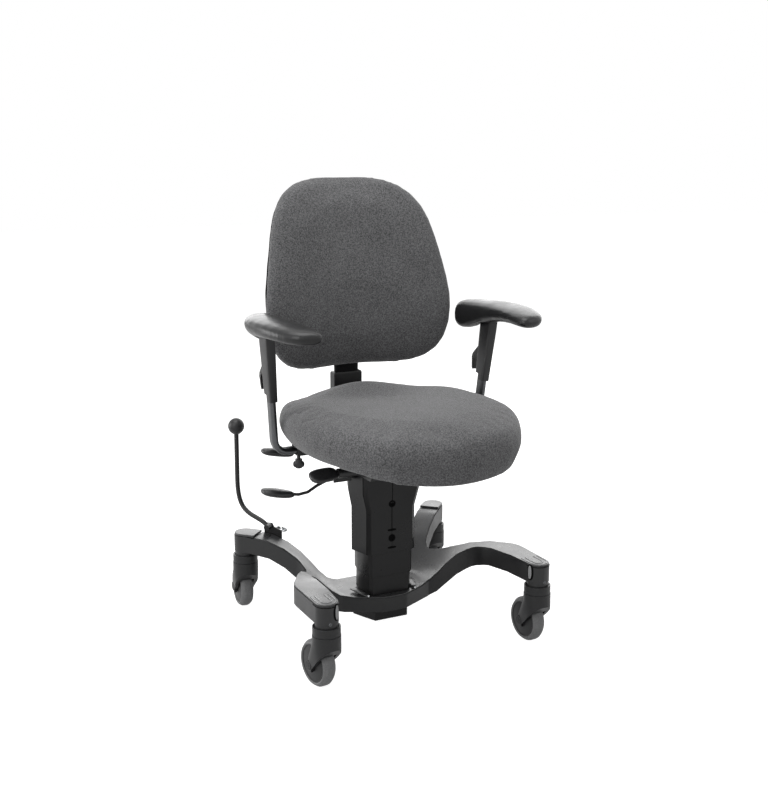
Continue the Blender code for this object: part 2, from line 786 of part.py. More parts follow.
def make_collar(name, x, y, pin):
    """Fixed ring under a leg, in one piece with the stem that the fork turns on."""
    outer = CASTOR_DIAMETER / 2
    recess = outer - COLLAR_WALL
    floor = COLLAR_BOTTOM + COLLAR_FLOOR
    rim = COLLAR_BOTTOM + COLLAR_HEIGHT
    profile = [
        (0, STEM_TOP), (STEM_RADIUS, STEM_TOP), (STEM_RADIUS, floor), (recess, floor),
        (recess, rim), (outer, rim), (outer, COLLAR_BOTTOM), (STEM_RADIUS, COLLAR_BOTTOM),
        (STEM_RADIUS, STEM_FOOT), (0, STEM_FOOT),
    ]
    collar = turned(profile, COLLAR_STEPS, (x, y, 0))
    cut(collar, shaft(PIN_RADIUS + SPIN_FIT, (*pin, COLLAR_BOTTOM - 0.01), (*pin, floor + 0.01)))
    piece(f"{name}_castor_collar", collar, CASTOR_GREY)


def about_stem(name):
    """How the castor of a corner stands: a turn about its stem."""
    x, y = stem(*CORNERS[name])
    there = Matrix.Translation((x, y, 0))
    return there @ Matrix.Rotation(CASTOR_TURN[name], 4, "Z") @ there.inverted()


def swivelled(shape, name):
    """The finished shape, turned about the stem of its castor."""
    mesh = mesh_of(shape)
    mesh.transform(about_stem(name))
    return add_shape(mesh)


def make_fork(name, x, y):
    """Swivelling housing: a round crown over two blades that hold the wheel."""
    radius = CASTOR_DIAMETER / 2
    axle = Vector((TRAIL, AXLE_Z))
    side_view = rounded([
        (y - radius, 0.106), (y - radius, FORK_TOP - 0.002), (y + radius, FORK_TOP - 0.002),
        (y + radius + 0.0015, 0.100),
        (y + TRAIL + 0.0165, axle.y + 0.006, 0.006), (y + TRAIL + 0.012, axle.y - 0.0165, 0.012),
        (y + TRAIL - 0.012, axle.y - 0.0165, 0.012), (y - radius + 0.005, 0.083, 0.004),
    ])
    fork = prism(side_view, x - FORK_WIDTH / 2, x + FORK_WIDTH / 2, SIDEWAYS)
    join(fork, shaft(radius, (x, y, AXLE_Z + WHEEL_DIAMETER / 2 - 0.006), (x, y, FORK_TOP), COLLAR_STEPS))
    wheel_room = WHEEL_DIAMETER / 2 + 0.003
    half_pocket = FORK_POCKET / 2
    cut(fork, shaft(wheel_room, (x - half_pocket, y + TRAIL, AXLE_Z),
                    (x + half_pocket, y + TRAIL, AXLE_Z), WHEEL_STEPS))
    cut(fork, shaft(AXLE_RADIUS + SPIN_FIT, (x - 0.04, y + TRAIL, AXLE_Z), (x + 0.04, y + TRAIL, AXLE_Z)))
    cut(fork, shaft(STEM_RADIUS + GAP, (x, y, STEM_FOOT - GAP), (x, y, FORK_TOP + 0.01)))
    groove_in = PIN_OFFSET - PIN_RADIUS - SPIN_FIT
    groove_out = PIN_OFFSET + PIN_RADIUS + SPIN_FIT
    groove_floor = FORK_TOP - PIN_STROKE - 0.0008
    groove = [(groove_in, FORK_TOP + 0.01), (groove_out, FORK_TOP + 0.01),
              (groove_out, groove_floor), (groove_in, groove_floor)]
    cut(fork, turned(groove, COLLAR_STEPS, (x, y, 0), closed=True))
    piece(f"{name}_castor_fork", swivelled(fork, name), CASTOR_GREY, (x, y, FORK_TOP))


def make_wheel(name, centre):
    """Hub and tyre, with the axle that carries them."""
    pivot = about_stem(name) @ Vector(centre)
    outer = WHEEL_DIAMETER / 2
    inner = outer - TYRE_DEPTH
    half = WHEEL_WIDTH / 2
    tread = [
        (inner, half - 0.004), (outer - 0.007, half), (outer, half - 0.009),
        (outer, 0.009 - half), (outer - 0.007, -half), (inner, 0.004 - half),
    ]
    tyre = turned(tread, WHEEL_STEPS, centre, "X", closed=True)
    piece(f"{name}_tyre", swivelled(tyre, name), TYRE_GREY, pivot)
    bore = AXLE_RADIUS + SPIN_FIT
    boss = FORK_POCKET / 2 - GAP
    rim = inner - GAP
    disc = [
        (bore, boss), (0.012, boss), (rim, HUB_WIDTH / 2), (rim, -HUB_WIDTH / 2), (0.012, -boss),
        (bore, -boss),
    ]
    hub = turned(disc, WHEEL_STEPS, centre, "X", closed=True)
    piece(f"{name}_wheel_hub", swivelled(hub, name), CASTOR_GREY, pivot)
    blade = FORK_WIDTH / 2 + GAP
    rivet = [
        (0, blade + 0.0020), (0.0095, blade), (AXLE_RADIUS, blade),
        (AXLE_RADIUS, -blade), (0.0095, -blade), (0, -blade - 0.0020),
    ]
    axle = turned(rivet, SHAFT_STEPS, centre, "X")
    piece(f"{name}_axle", swivelled(axle, name), STEEL, pivot)


def make_castors():
    for name, (across, along) in CORNERS.items():
        x, y = stem(across, along)
        pin = pin_place(across, along)
        make_collar(name, x, y, pin)
        make_fork(name, x, y)
        make_wheel(name, (x, y + TRAIL, AXLE_Z))
        brake_pin = shaft(PIN_RADIUS, (*pin, COLLAR_BOTTOM + GAP), (*pin, PIN_TOP))
        piece(f"{name}_brake_pin", brake_pin, STEEL, (*pin, COLLAR_BOTTOM))


# Column

def at_height(outline, z):
    return [(x, y, z) for x, y in outline]


def make_column():
    """Three telescoping tubes with the lift cylinder inside."""
    foot_half = [(0.040, -0.062), (0.053, -0.032), (0.066, 0), (0.053, 0.022), (0.046, 0.036)]
    foot_plan = [(x, y + COLUMN_Y) for x, y in mirrored(foot_half)]
    foot_top = HUB_UNDERSIDE - GAP
    lower = prism(foot_plan, COLUMN_FOOT, foot_top)
    join(lower, prism(LOWER_SECTION, foot_top - 0.005, LOWER_TOP))
    cut(lower, prism(shrunk(LOWER_SECTION, COLUMN_WALL), COLUMN_FOOT + FOOT_FLOOR, LOWER_TOP + 0.01))
    piece("column_lower", lower, COLUMN_BLACK)

    middle_bore = shrunk(MIDDLE_SECTION, COLUMN_WALL)
    middle = loft([at_height(MIDDLE_SECTION, MIDDLE_BOTTOM), at_height(MIDDLE_SECTION, MIDDLE_TOP),
                   at_height(middle_bore, MIDDLE_TOP), at_height(middle_bore, MIDDLE_BOTTOM)], closed=True)
    piece("column_middle", middle, COLUMN_BLACK)

    upper_bore = shrunk(UPPER_SECTION, COLUMN_WALL)
    upper = loft([at_height(UPPER_SECTION, UPPER_BOTTOM), at_height(UPPER_SECTION, FLARE_START),
                  at_height(FLARED_SECTION, FLARE_END), at_height(FLARED_SECTION, UPPER_TOP),
                  at_height(upper_bore, UPPER_TOP), at_height(upper_bore, UPPER_BOTTOM)], closed=True)
    seam_y = COLUMN_Y - COLUMN_FRONT_DEPTH
    seam_length = 0.110
    cut(upper, block((SEAM_WIDTH, SEAM_WIDTH, seam_length),
                     (0, seam_y, UPPER_BOTTOM + 0.009 + seam_length / 2)))
    piece("column_upper", upper, COLUMN_BLACK)

    cylinder_foot = COLUMN_FOOT + FOOT_FLOOR + GAP
    bore = LIFT_ROD_RADIUS + SPIN_FIT
    bore_floor = LIFT_ROD_FOOT - LIFT_ROD_DROP
    cylinder = [(0, bore_floor), (bore, bore_floor), (bore, LIFT_TOP), (LIFT_RADIUS, LIFT_TOP),
                (LIFT_RADIUS, cylinder_foot), (0, cylinder_foot)]
    piece("lift_cylinder", turned(cylinder, 16, (0, COLUMN_Y, 0)), BLACK_STEEL)
    rod = shaft(LIFT_ROD_RADIUS, (0, COLUMN_Y, LIFT_ROD_FOOT), (0, COLUMN_Y, UPPER_TOP))
    piece("lift_rod", rod, STEEL, (0, COLUMN_Y, LIFT_ROD_FOOT))


# Levers

def lever_lug(side_view, y_middle):
    """A lug, with a slot and a cross hole at its free end for a lever's barrel."""
    half = BARREL_LENGTH / 2 + GAP + CHEEK_THICKNESS
    return prism(side_view, -(y_middle + half), -(y_middle - half), FACING)


def lever_slot(pivot, toward):
    """Cutter for the slot and hole that a lever's barrel sits in."""
    x, y, z = pivot
    half = BARREL_LENGTH / 2 + GAP
    depth = BARREL_RADIUS + GAP
    slot = block((0.05, 2 * half, 0.05), (x + toward * (0.025 - depth), y, z))
    hole = shaft(0.002 + GAP, (x, y - 0.05, z), (x, y + 0.05, z))
    return slot, hole


def lever(name, pivot, route, paddle_size, paddle_centre, paddle_tilt):
    """A hand lever: barrel with pivot stubs, bent rod and flat paddle."""
    x, y, z = pivot
    body = tube(smooth_route(route, 3), LEVER_ROD_RADIUS, 1)
    half = BARREL_LENGTH / 2
    stub = half + GAP + CHEEK_THICKNESS
    join(body, shaft(BARREL_RADIUS, (x, y - half, z), (x, y + half, z), 16))
    join(body, shaft(0.002, (x, y - stub, z), (x, y + stub, z)))
    paddle = mesh_of(soften(block(paddle_size, paddle_centre, Matrix.Rotation(paddle_tilt, 3, "Y")),
                            0.0040, 1))
    join(body, add_shape(welded(paddle)))
    piece(name, body, BLACK_PLASTIC, pivot)


def make_mechanism():
    """Housing on the column: an open tray with the tilt pin's bores and the levers' lug."""
    bottom = UPPER_TOP + GAP
    front, rear, top = MECHANISM_FRONT, MECHANISM_REAR, MECHANISM_TOP
    side_view = [(front + 0.012, bottom), (rear - 0.020, bottom), (rear, bottom + 0.014), (rear, top - 0.012),
                 (0.070, top), (-0.070, top), (front, top - 0.006), (front, bottom + 0.016)]
    half = MECHANISM_HALF_WIDTH
    tray = prism(side_view, -half, half, SIDEWAYS)
    x, y, z = HEIGHT_LEVER_PIVOT
    flare_side = UPPER_SIDE_HALF + FLARE + 0.001
    lug_view = [(-half + 0.002, bottom + 0.018), (x - 0.008, z + 0.007), (x - 0.008, z - 0.009),
                (-flare_side, z - 0.009), (-flare_side, bottom + 0.001), (-half + 0.002, bottom + 0.001)]
    join(tray, lever_lug(lug_view, y))
    cut(tray, *lever_slot(HEIGHT_LEVER_PIVOT, -1))
    room = shrunk(side_view, MECHANISM_WALL)
    room = [(py, pz if pz < top - 0.02 else pz + 0.03) for py, pz in room]
    cut(tray, prism(room, -half + MECHANISM_WALL, half - MECHANISM_WALL, SIDEWAYS))
    cut(tray, shaft(TILT_PIN_RADIUS + SPIN_FIT, (-0.1, TILT_Y, TILT_Z), (0.1, TILT_Y, TILT_Z), 16))
    cut(tray, shaft(TILT_LEVER_RADIUS + SPIN_FIT, (-0.1, TILT_LEVER_Y, TILT_LEVER_Z),
                    (-0.05, TILT_LEVER_Y, TILT_LEVER_Z), 16))
    piece("seat_mechanism", tray, BLACK_STEEL)

    pin_end = half + GAP + EAR_THICKNESS + GAP
    pin = [(0, pin_end + 0.003), (0.0085, pin_end + 0.003), (0.0085, pin_end), (TILT_PIN_RADIUS, pin_end),
           (TILT_PIN_RADIUS, -pin_end), (0.0085, -pin_end), (0.0085, -pin_end - 0.003), (0, -pin_end - 0.003)]
    piece("seat_tilt_pin", turned(pin, 16, TILT_PIVOT, "X"), STEEL)


def make_mechanism_levers():
    x, y, z = HEIGHT_LEVER_PIVOT
    route = [(x - out, y, z - sag) for out, sag in HEIGHT_LEVER_SAG]
    paddle_centre = (x - HEIGHT_PADDLE_OUT, y, z - HEIGHT_PADDLE_DOWN)
    lever("height_lever", HEIGHT_LEVER_PIVOT, route, HEIGHT_PADDLE, paddle_centre, radians(11))

    y, z, radius = TILT_LEVER_Y, TILT_LEVER_Z, TILT_LEVER_RADIUS
    inner = -MECHANISM_HALF_WIDTH + 0.006
    body = shaft(radius, (inner, y, z), (TILT_ROD_END, y, z), 16)
    join(body, shaft(radius + 0.004, (-MECHANISM_HALF_WIDTH - 0.010, y, z), (TILT_GRIP_END, y, z), 16))
    flat = block(TILT_PADDLE, (TILT_PADDLE_X, y, z + 0.002), Matrix.Rotation(radians(-4), 3, "Y"))
    join(body, add_shape(welded(mesh_of(soften(flat, 0.0040, 1)))))
    piece("tilt_lever", body, BLACK_PLASTIC, (TILT_LEVER_X, y, z))


# Seat

def seat_plan():
    """Seat outline: straight sides, full front corners and a narrow rounded rear."""
    half = [(0, SEAT_FRONT), (0.125, SEAT_FRONT, 0.070), (SEAT_HALF_WIDTH, -0.165, 0.170),
            (SEAT_HALF_WIDTH, 0.020, 0.120), (0.180, SEAT_REAR - 0.005, 0.070), (0, SEAT_REAR)]
    return resampled(rounded(mirrored(half)), PLAN_POINTS)


def scaled(outline, share, middle_y):
    return [(x * share, middle_y + (y - middle_y) * share) for x, y in outline]


def eased(value):
    """A smooth step from 0 to 1."""
    value = min(1.0, max(0.0, value))
    return value * value * (3 - 2 * value)


def seat_ring(share, height):
    return [(x, y, height(x, y)) for x, y in scaled(seat_plan(), share, SEAT_MIDDLE_Y)]


def seat_crown(drop):
    """Height of the sitting surface: a shallow bowl toward the rear, full at the front."""
    def height(x, y):
        bowl = SEAT_DIP * exp(-(x / 0.13) ** 2 - ((y - 0.03) / 0.12) ** 2)
        return SEAT_TOP - drop - bowl - 0.006 * eased((-0.22 - y) / 0.12)
    return height


def seat_hem(rise):
    """Height of the lower edge, lowest at the front."""
    def height(x, y):
        return SEAT_HEM_FRONT + rise + (SEAT_HEM_REAR - SEAT_HEM_FRONT) * eased((y - SEAT_FRONT) / 0.22)
    return height


def make_seat():
    plate_top = PLATE_UNDERSIDE + PLATE_THICKNESS
    shell = prism(scaled(seat_plan(), SEAT_SHELL_SHARE, SEAT_MIDDLE_Y), SEAT_SHELL_BOTTOM,
                  SEAT_SHELL_BOTTOM + SEAT_SHELL_THICKNESS)
    piece("seat_shell", shell, BLACK_PLASTIC, TILT_PIVOT)

    def flat(x, y):
        return SEAT_CUSHION_BOTTOM

    rings = [
        seat_ring(0.25, seat_crown(0.0)), seat_ring(0.55, seat_crown(0.0)),
        seat_ring(0.82, seat_crown(0.001)), seat_ring(0.95, seat_crown(0.012)),
        seat_ring(1.012, seat_crown(0.042)), seat_ring(0.992, seat_hem(0.024)),
        seat_ring(0.955, seat_hem(-0.001)), seat_ring(0.915, seat_hem(-0.001)),
        seat_ring(0.885, flat), seat_ring(0.86, flat), seat_ring(0.50, flat),
    ]
    piece("seat_cushion", subdivided(loft(rings)), FABRIC, TILT_PIVOT)

    plate = block((2 * PLATE_HALF_WIDTH, PLATE_REAR - PLATE_FRONT, PLATE_THICKNESS),
                  (0, (PLATE_REAR + PLATE_FRONT) / 2, (PLATE_UNDERSIDE + plate_top) / 2))
    ear_inner = MECHANISM_HALF_WIDTH + GAP
    ear_view = rounded([(TILT_Y - 0.024, PLATE_UNDERSIDE + 0.002),
                        (TILT_Y - EAR_RADIUS, TILT_Z - EAR_RADIUS, EAR_RADIUS * 0.98),
                        (TILT_Y + EAR_RADIUS, TILT_Z - EAR_RADIUS, EAR_RADIUS * 0.98),
                        (TILT_Y + 0.024, PLATE_UNDERSIDE + 0.002)])
    hinge_view = rounded([(PLATE_REAR - 0.012, PLATE_UNDERSIDE + 0.002),
                          (PLATE_REAR - 0.006, BACK_PIVOT_Z - 0.0085, 0.002),
                          (BACK_PIVOT_Y + 0.0085, BACK_PIVOT_Z - 0.0085, 0.008),
                          (BACK_PIVOT_Y + 0.0085, BACK_PIVOT_Z + 0.0085, 0.008),
                          (PLATE_REAR + 0.002, PLATE_UNDERSIDE + 0.002)])
    hinge_inner = BAR_WIDTH / 2 + GAP
    for side in SIDES.values():
        ear = sorted((side * ear_inner, side * (ear_inner + EAR_THICKNESS)))
        join(plate, prism(ear_view, *ear, SIDEWAYS))
        ear = sorted((side * hinge_inner, side * (hinge_inner + HINGE_EAR_THICKNESS)))
        join(plate, prism(hinge_view, *ear, SIDEWAYS))
    turn = Matrix.Rotation(ARM_LEAN_FORWARD, 3, "X")
    opening = (ARM_TUBE_WIDTH + 2 * SLIDE_FIT, ARM_TUBE_DEPTH + 2 * SLIDE_FIT)
    centre = (0, ARM_Y, ARM_RUN_Z)
    outside = [size + 2 * RECEIVER_WALL for size in opening]
    join(plate, block((2 * RECEIVER_END, *outside), centre, turn))
    cut(plate, block((2 * RECEIVER_END + 0.02, *opening), centre, turn))
    x, y, z = BACK_LEVER_PIVOT
    lug_view = [(-PLATE_HALF_WIDTH + 0.030, plate_top - 0.001), (-PLATE_HALF_WIDTH, plate_top - 0.001),
                (x - 0.008, z + 0.008), (x - 0.008, z - 0.008), (x + 0.012, z - 0.008)]
    join(plate, lever_lug(lug_view, y))
    cut(plate, *lever_slot(BACK_LEVER_PIVOT, -1))
    cut(plate, shaft(TILT_PIN_RADIUS + SPIN_FIT, (-0.1, TILT_Y, TILT_Z), (0.1, TILT_Y, TILT_Z), 16))
    cut(plate, shaft(BACK_PIN_RADIUS + SPIN_FIT, (-0.05, *BACK_PIVOT[1:]), (0.05, *BACK_PIVOT[1:]), 16))
    clamps = [shaft(0.004 + SPIN_FIT, (side * CLAMP_X, ARM_Y, ARM_RUN_Z - 0.03),
                    (side * CLAMP_X, ARM_Y, ARM_RUN_Z))
              for side in SIDES.values()]
    cut(plate, group(*clamps))
    piece("seat_plate", plate, BLACK_STEEL, TILT_PIVOT)

    route = [(x - out, y, z - sag) for out, sag in BACK_LEVER_SAG]
    paddle_centre = (x - BACK_PADDLE_OUT, y, z - BACK_PADDLE_DOWN)
    lever("back_lever", BACK_LEVER_PIVOT, route, BACK_PADDLE, paddle_centre, radians(9))


# Back

def back_surface(x, z, ahead=0.0):
    """Y of the shell's front face, wrapped at the sides and leaning back toward the top."""
    lean = max(0.0, (z - BACK_LEAN_START) / (BACK_TOP - BACK_LEAN_START))
    return BACK_SURFACE_Y + BACK_LEAN * lean ** 1.5 - BACK_WRAP * (x / BACK_HALF_WIDTH) ** 2 - ahead


def back_plan(points=PLAN_POINTS):
    """Front view of the back, widest below its middle."""
    half = [(0, BACK_BOTTOM + 0.002), (BACK_HALF_WIDTH - 0.012, BACK_BOTTOM, 0.090),
            (BACK_HALF_WIDTH + 0.008, 0.745, 0.200),
            (0.170, BACK_TOP + 0.006, 0.115), (0, BACK_TOP)]
    return resampled(rounded(mirrored(half)), points)


def back_ring(share, ahead, points=PLAN_POINTS):
    return [(x, back_surface(x, z, ahead), z) for x, z in scaled(back_plan(points), share, BACK_MIDDLE_Z)]


def make_back():
    half = BAR_WIDTH / 2
    y, z = BACK_PIVOT_Y, BACK_PIVOT_Z
    front, rear = BAR_Y - BAR_THICKNESS / 2, BAR_Y + BAR_THICKNESS / 2
    eye = BACK_EYE_RADIUS
    side_view = rounded([
        (front, BAR_TOP), (front, z + eye - 0.001, 0.006), (y - eye, z + eye, eye * 0.98),
        (y - eye, z - eye, eye * 0.98),
        (rear, z - eye, 0.014), (rear, BAR_TOP),
    ])
    bar = prism(side_view, -half, half, SIDEWAYS)
    cut(bar, shaft(BACK_PIN_RADIUS + SPIN_FIT, (-0.05, y, z), (0.05, y, z), 16))
    piece("back_bar", bar, BLACK_STEEL, BACK_PIVOT)

    pin_end = half + GAP + HINGE_EAR_THICKNESS + GAP
    pin = [(0, pin_end + 0.0025), (0.007, pin_end + 0.0025), (0.007, pin_end), (BACK_PIN_RADIUS, pin_end),
           (BACK_PIN_RADIUS, -pin_end), (0.007, -pin_end), (0.007, -pin_end - 0.0025), (0, -pin_end - 0.0025)]
    piece("back_pivot_pin", turned(pin, 16, BACK_PIVOT, "X"), STEEL)

    middle = (BACK_SLEEVE_BOTTOM + BACK_SLEEVE_TOP) / 2
    height = BACK_SLEEVE_TOP - BACK_SLEEVE_BOTTOM
    inner_width = BACK_SLEEVE_WIDTH - 2 * BACK_SLEEVE_WALL
    inner_depth = BACK_SLEEVE_DEPTH - 2 * BACK_SLEEVE_WALL + 0.0055
    sleeve = block((BACK_SLEEVE_WIDTH, BACK_SLEEVE_DEPTH, height), (0, BAR_Y, middle))
    sleeve = add_shape(welded(mesh_of(soften(sleeve, 0.005))))
    cut(sleeve, block((inner_width, inner_depth, height), (0, BAR_Y, middle + BACK_SLEEVE_FLOOR)))
    cut(sleeve, block((BAR_WIDTH + 2 * GAP, BAR_THICKNESS + 2 * GAP, height + 0.02), (0, BAR_Y, middle)))
    piece("back_sleeve", sleeve, BLACK_PLASTIC, BACK_PIVOT)

    work = open_dome([back_ring(share, 0.0, SHELL_POINTS) for share in (BACK_SHELL_SHARE, *BACK_RINGS)],
                     (0, back_surface(0, BACK_MIDDLE_Z), BACK_MIDDLE_Z))
    skin = work.modifiers.new("thickness", "SOLIDIFY")
    skin.thickness = BACK_SHELL_THICKNESS
    skin.offset = -1
    carrier_width = inner_width - 2 * SLIDE_FIT
    carrier_depth = inner_depth - 2 * SLIDE_FIT
    carrier_middle = (CARRIER_BOTTOM + CARRIER_TOP) / 2
    carrier_height = CARRIER_TOP - CARRIER_BOTTOM
    join(work, block((carrier_width, carrier_depth, carrier_height), (0, BAR_Y, carrier_middle)))
    saddle_bottom = BACK_BOTTOM + 0.030
    saddle_steps = 4
    saddle_view = [(BAR_Y, CARRIER_TOP), (BAR_Y, saddle_bottom)]
    for step in range(saddle_steps + 1):
        height = saddle_bottom + (CARRIER_TOP - saddle_bottom) * step / saddle_steps
        saddle_view.append((back_surface(0, height) + BACK_SHELL_THICKNESS / 2, height))
    join(work, prism(saddle_view, -carrier_width / 2, carrier_width / 2, SIDEWAYS))
    cut(work, block((BAR_WIDTH + 2 * SLIDE_FIT, BAR_THICKNESS + 2 * SLIDE_FIT, carrier_height),
                    (0, BAR_Y, carrier_middle - 0.020)))
    piece("back_shell", work, BLACK_PLASTIC, (0, BAR_Y, CARRIER_BOTTOM))

    thick = BACK_PAD_THICKNESS
    rings = [
        back_ring(0.30, thick), back_ring(0.62, thick * 0.99), back_ring(0.86, thick * 0.92),
        back_ring(0.965, thick * 0.72),
        back_ring(1.015, thick * 0.40), back_ring(1.027, thick * 0.14), back_ring(1.00, BACK_PAD_SEAT),
        *[back_ring(share, BACK_PAD_SEAT) for share in BACK_RINGS],
    ]
    piece("back_cushion", subdivided(loft(rings)), FABRIC, (0, BAR_Y, CARRIER_BOTTOM))


# Arms

def arm_axes(side):
    """Directions along the upright, out from it and toward the rear."""
    lean_plane = Vector((0, -sin(ARM_LEAN_FORWARD), cos(ARM_LEAN_FORWARD)))
    sideways = Vector((side, 0, 0))
    along = sideways * sin(ARM_LEAN_OUT) + lean_plane * cos(ARM_LEAN_OUT)
    out = sideways * cos(ARM_LEAN_OUT) - lean_plane * sin(ARM_LEAN_OUT)
    rear = Vector((0, cos(ARM_LEAN_FORWARD), sin(ARM_LEAN_FORWARD)))
    return along, out, rear


def arm_point(side, along, out=0.0, rear=0.0):
    """Point by its distance along the upright, outward and rearward from its centre line."""
    a, o, r = arm_axes(side)
    return Vector((side * ARM_BEND_X, ARM_Y, ARM_RUN_Z)) + a * along + o * out + r * rear


def arm_ring(side, along, outline, back=0.0):
    return [arm_point(side, along, out, rear + back) for out, rear in outline]


def soft_box(depth, width, sharpness, steps=16):
    """Outline between an ellipse and a rectangle."""
    points = []
    for step in range(steps):
        angle = 2 * pi * (step + 0.5) / steps
        c, s = cos(angle), sin(angle)
        points.append((depth / 2 * abs(c) ** (2 / sharpness) * (1 if c > 0 else -1),
                       width / 2 * abs(s) ** (2 / sharpness) * (1 if s > 0 else -1)))
    return points


def make_arm_tube(name, side):
    """Flat-oval tube: a level run into the receiver, a bend, and the leaning upright."""
    corner = Vector((ARM_BEND_X, 0))
    upright_end = corner + Vector((sin(ARM_LEAN_OUT), cos(ARM_LEAN_OUT))) * ARM_TUBE_LENGTH
    path = rounded([(ARM_INNER_END, 0), (*corner, ARM_BEND_RADIUS), tuple(upright_end)], closed=False)
    section = flat_oval(ARM_TUBE_WIDTH, ARM_TUBE_DEPTH)
    _, _, rear = arm_axes(side)
    level = Vector((side, 0, 0))
    raised = Vector((0, -sin(ARM_LEAN_FORWARD), cos(ARM_LEAN_FORWARD)))
    start = Vector((0, ARM_Y, ARM_RUN_Z))
    rings = []
    for i, (x, h) in enumerate(path):
        before = Vector(path[max(0, i - 1)])
        after = Vector(path[min(len(path) - 1, i + 1)])
        direction = (after - before).normalized()
        sideways = level * direction.y - raised * direction.x
        centre = start + level * x + raised * h
        rings.append([centre + sideways * thin + rear * wide for thin, wide in section])
    piece(f"{name}_arm_tube", loft(rings), TUBE_GREY, (side * ARM_BEND_X, ARM_Y, ARM_RUN_Z))


def make_arm_sleeve(name, side):
    """Height sleeve: tapered housing round the upright, its rear half ending higher."""
    start = ARM_SLEEVE_START
    end = start + ARM_SLEEVE_LENGTH
    sections = [(start, 0.0195, 0.037), (start + 0.05, 0.0215, 0.041), (end - 0.02, 0.024, 0.045),
                (end, 0.024, 0.045)]
    sleeve = loft([arm_ring(side, along, soft_box(depth, width, 5), ARM_SLEEVE_BACK)
                   for along, depth, width in sections])
    bore = flat_oval(ARM_TUBE_WIDTH + 2 * SLIDE_FIT, ARM_TUBE_DEPTH + 2 * SLIDE_FIT)
    top = arm_point(side, end - 0.006)
    neck_top = arm_point(side, end) + Vector((0, 0, NECK_HEIGHT))
    join(sleeve, shaft(NECK_RADIUS, (neck_top.x, neck_top.y, top.z), neck_top, 16))
    bore_top = end - ARM_SLEEVE_ROOF - 0.006
    cut(sleeve, loft([arm_ring(side, along, bore) for along in (start - 0.01, bore_top)]))
    step_ring = [(-0.03, 0.001), (0.03, 0.001), (0.03, 0.03), (-0.03, 0.03)]
    cut(sleeve, loft([arm_ring(side, along, step_ring) for along in (start - 0.01, start + ARM_SLEEVE_STEP)]))
    half = TRIGGER_HALF_WIDTH + SLIDE_FIT
    pivot_at, pivot_rear = TRIGGER_PIVOT_ALONG, TRIGGER_PIVOT_REAR
    pocket = [(-half, pivot_rear - 0.003), (half, pivot_rear - 0.003), (half, 0.04), (-half, 0.04)]
    cut(sleeve, loft([arm_ring(side, along, pocket) for along in (pivot_at - 0.022, pivot_at + 0.004)]))
    pin_reach = TRIGGER_HALF_WIDTH + 0.0025
    cut(sleeve, shaft(TRIGGER_PIN_RADIUS + GAP, arm_point(side, pivot_at, -pin_reach, pivot_rear),
                      arm_point(side, pivot_at, pin_reach, pivot_rear), 8))
    piece(f"{name}_arm_sleeve", sleeve, BLACK_PLASTIC, arm_point(side, start))


def make_arm_trigger(name, side):
    """Hooked lever on the sleeve's rear face; squeezing it frees the height lock."""
    at, rear = TRIGGER_PIVOT_ALONG, TRIGGER_PIVOT_REAR
    hook = [
        (at - 0.0022, rear - 0.0024), (at + 0.0024, rear - 0.0020), (at + 0.0024, rear + 0.0030),
        (at - 0.0200, rear + 0.0240), (at - 0.0290, rear + 0.0265), (at - 0.0540, rear + 0.0210),
        (at - 0.0570, rear + 0.0180), (at - 0.0545, rear + 0.0150), (at - 0.0330, rear + 0.0190),
        (at - 0.0250, rear + 0.0150), (at - 0.0120, rear + 0.0015),
    ]
    half = TRIGGER_HALF_WIDTH
    trigger = loft([[arm_point(side, along, out, back) for along, back in hook] for out in (-half, half)])
    pin_reach = half + 0.0022
    join(trigger, shaft(TRIGGER_PIN_RADIUS, arm_point(side, at, -pin_reach, rear),
                        arm_point(side, at, pin_reach, rear), 8))
    piece(f"{name}_arm_trigger", trigger, BLACK_PLASTIC, arm_point(side, at, 0, rear))


def make_arm_pad(name, side):
    """Kidney-shaped pad, hollow on its inner side, with the rear of its inner edge hanging down."""
    neck = arm_point(side, ARM_SLEEVE_START + ARM_SLEEVE_LENGTH)
    section = soft_box(1.0, 1.0, 2.8, 10)
    rings = []
    for t, share in ((-1, 0.40), (-0.93, 0.76), (-0.70, 0.97), (-0.25, 1), (0.25, 1), (0.70, 1),
                     (0.93, 0.84), (1, 0.46)):
        y = PAD_MIDDLE_Y + t * PAD_LENGTH / 2
        bend = (y - PAD_MIDDLE_Y) / PAD_BEND_RADIUS
        x = PAD_MIDDLE_X - PAD_BEND_RADIUS * (1 - cos(bend))
        middle_z = PAD_UNDERSIDE + PAD_THICKNESS / 2 - PAD_DROOP * t * t * (1 - 0.5 * eased(t))
        thickness = PAD_THICKNESS * (0.35 + 0.65 * share) * (1 - 0.16 * eased(-t))
        ring = []
        for across, up in section:
            wide = across * PAD_WIDTH * share
            hang = PAD_HANG * eased(t * 1.3) * share * (0.5 - across) * (0.5 - up)
            ring.append((side * (x + wide * cos(bend)), y - wide * sin(bend) * 0.6,
                         middle_z + up * thickness - hang))
        rings.append(ring)
    pad = add_shape(welded(mesh_of(subdivided(loft(rings)))))
    sleeve_end = arm_ring(side, ARM_SLEEVE_START + ARM_SLEEVE_LENGTH, soft_box(0.024, 0.045, 5),
                          ARM_SLEEVE_BACK)
    seat_z = max(point.z for point in sleeve_end) + GAP
    cut(pad, shaft(PAD_SEAT_RADIUS, (neck.x, neck.y, seat_z - 0.06), (neck.x, neck.y, seat_z), 16))
    cut(pad, shaft(NECK_RADIUS + SPIN_FIT, (neck.x, neck.y, neck.z - 0.02),
                   (neck.x, neck.y, neck.z + NECK_HEIGHT + GAP), 16))
    piece(f"{name}_arm_pad", pad, PAD_BLACK, neck)


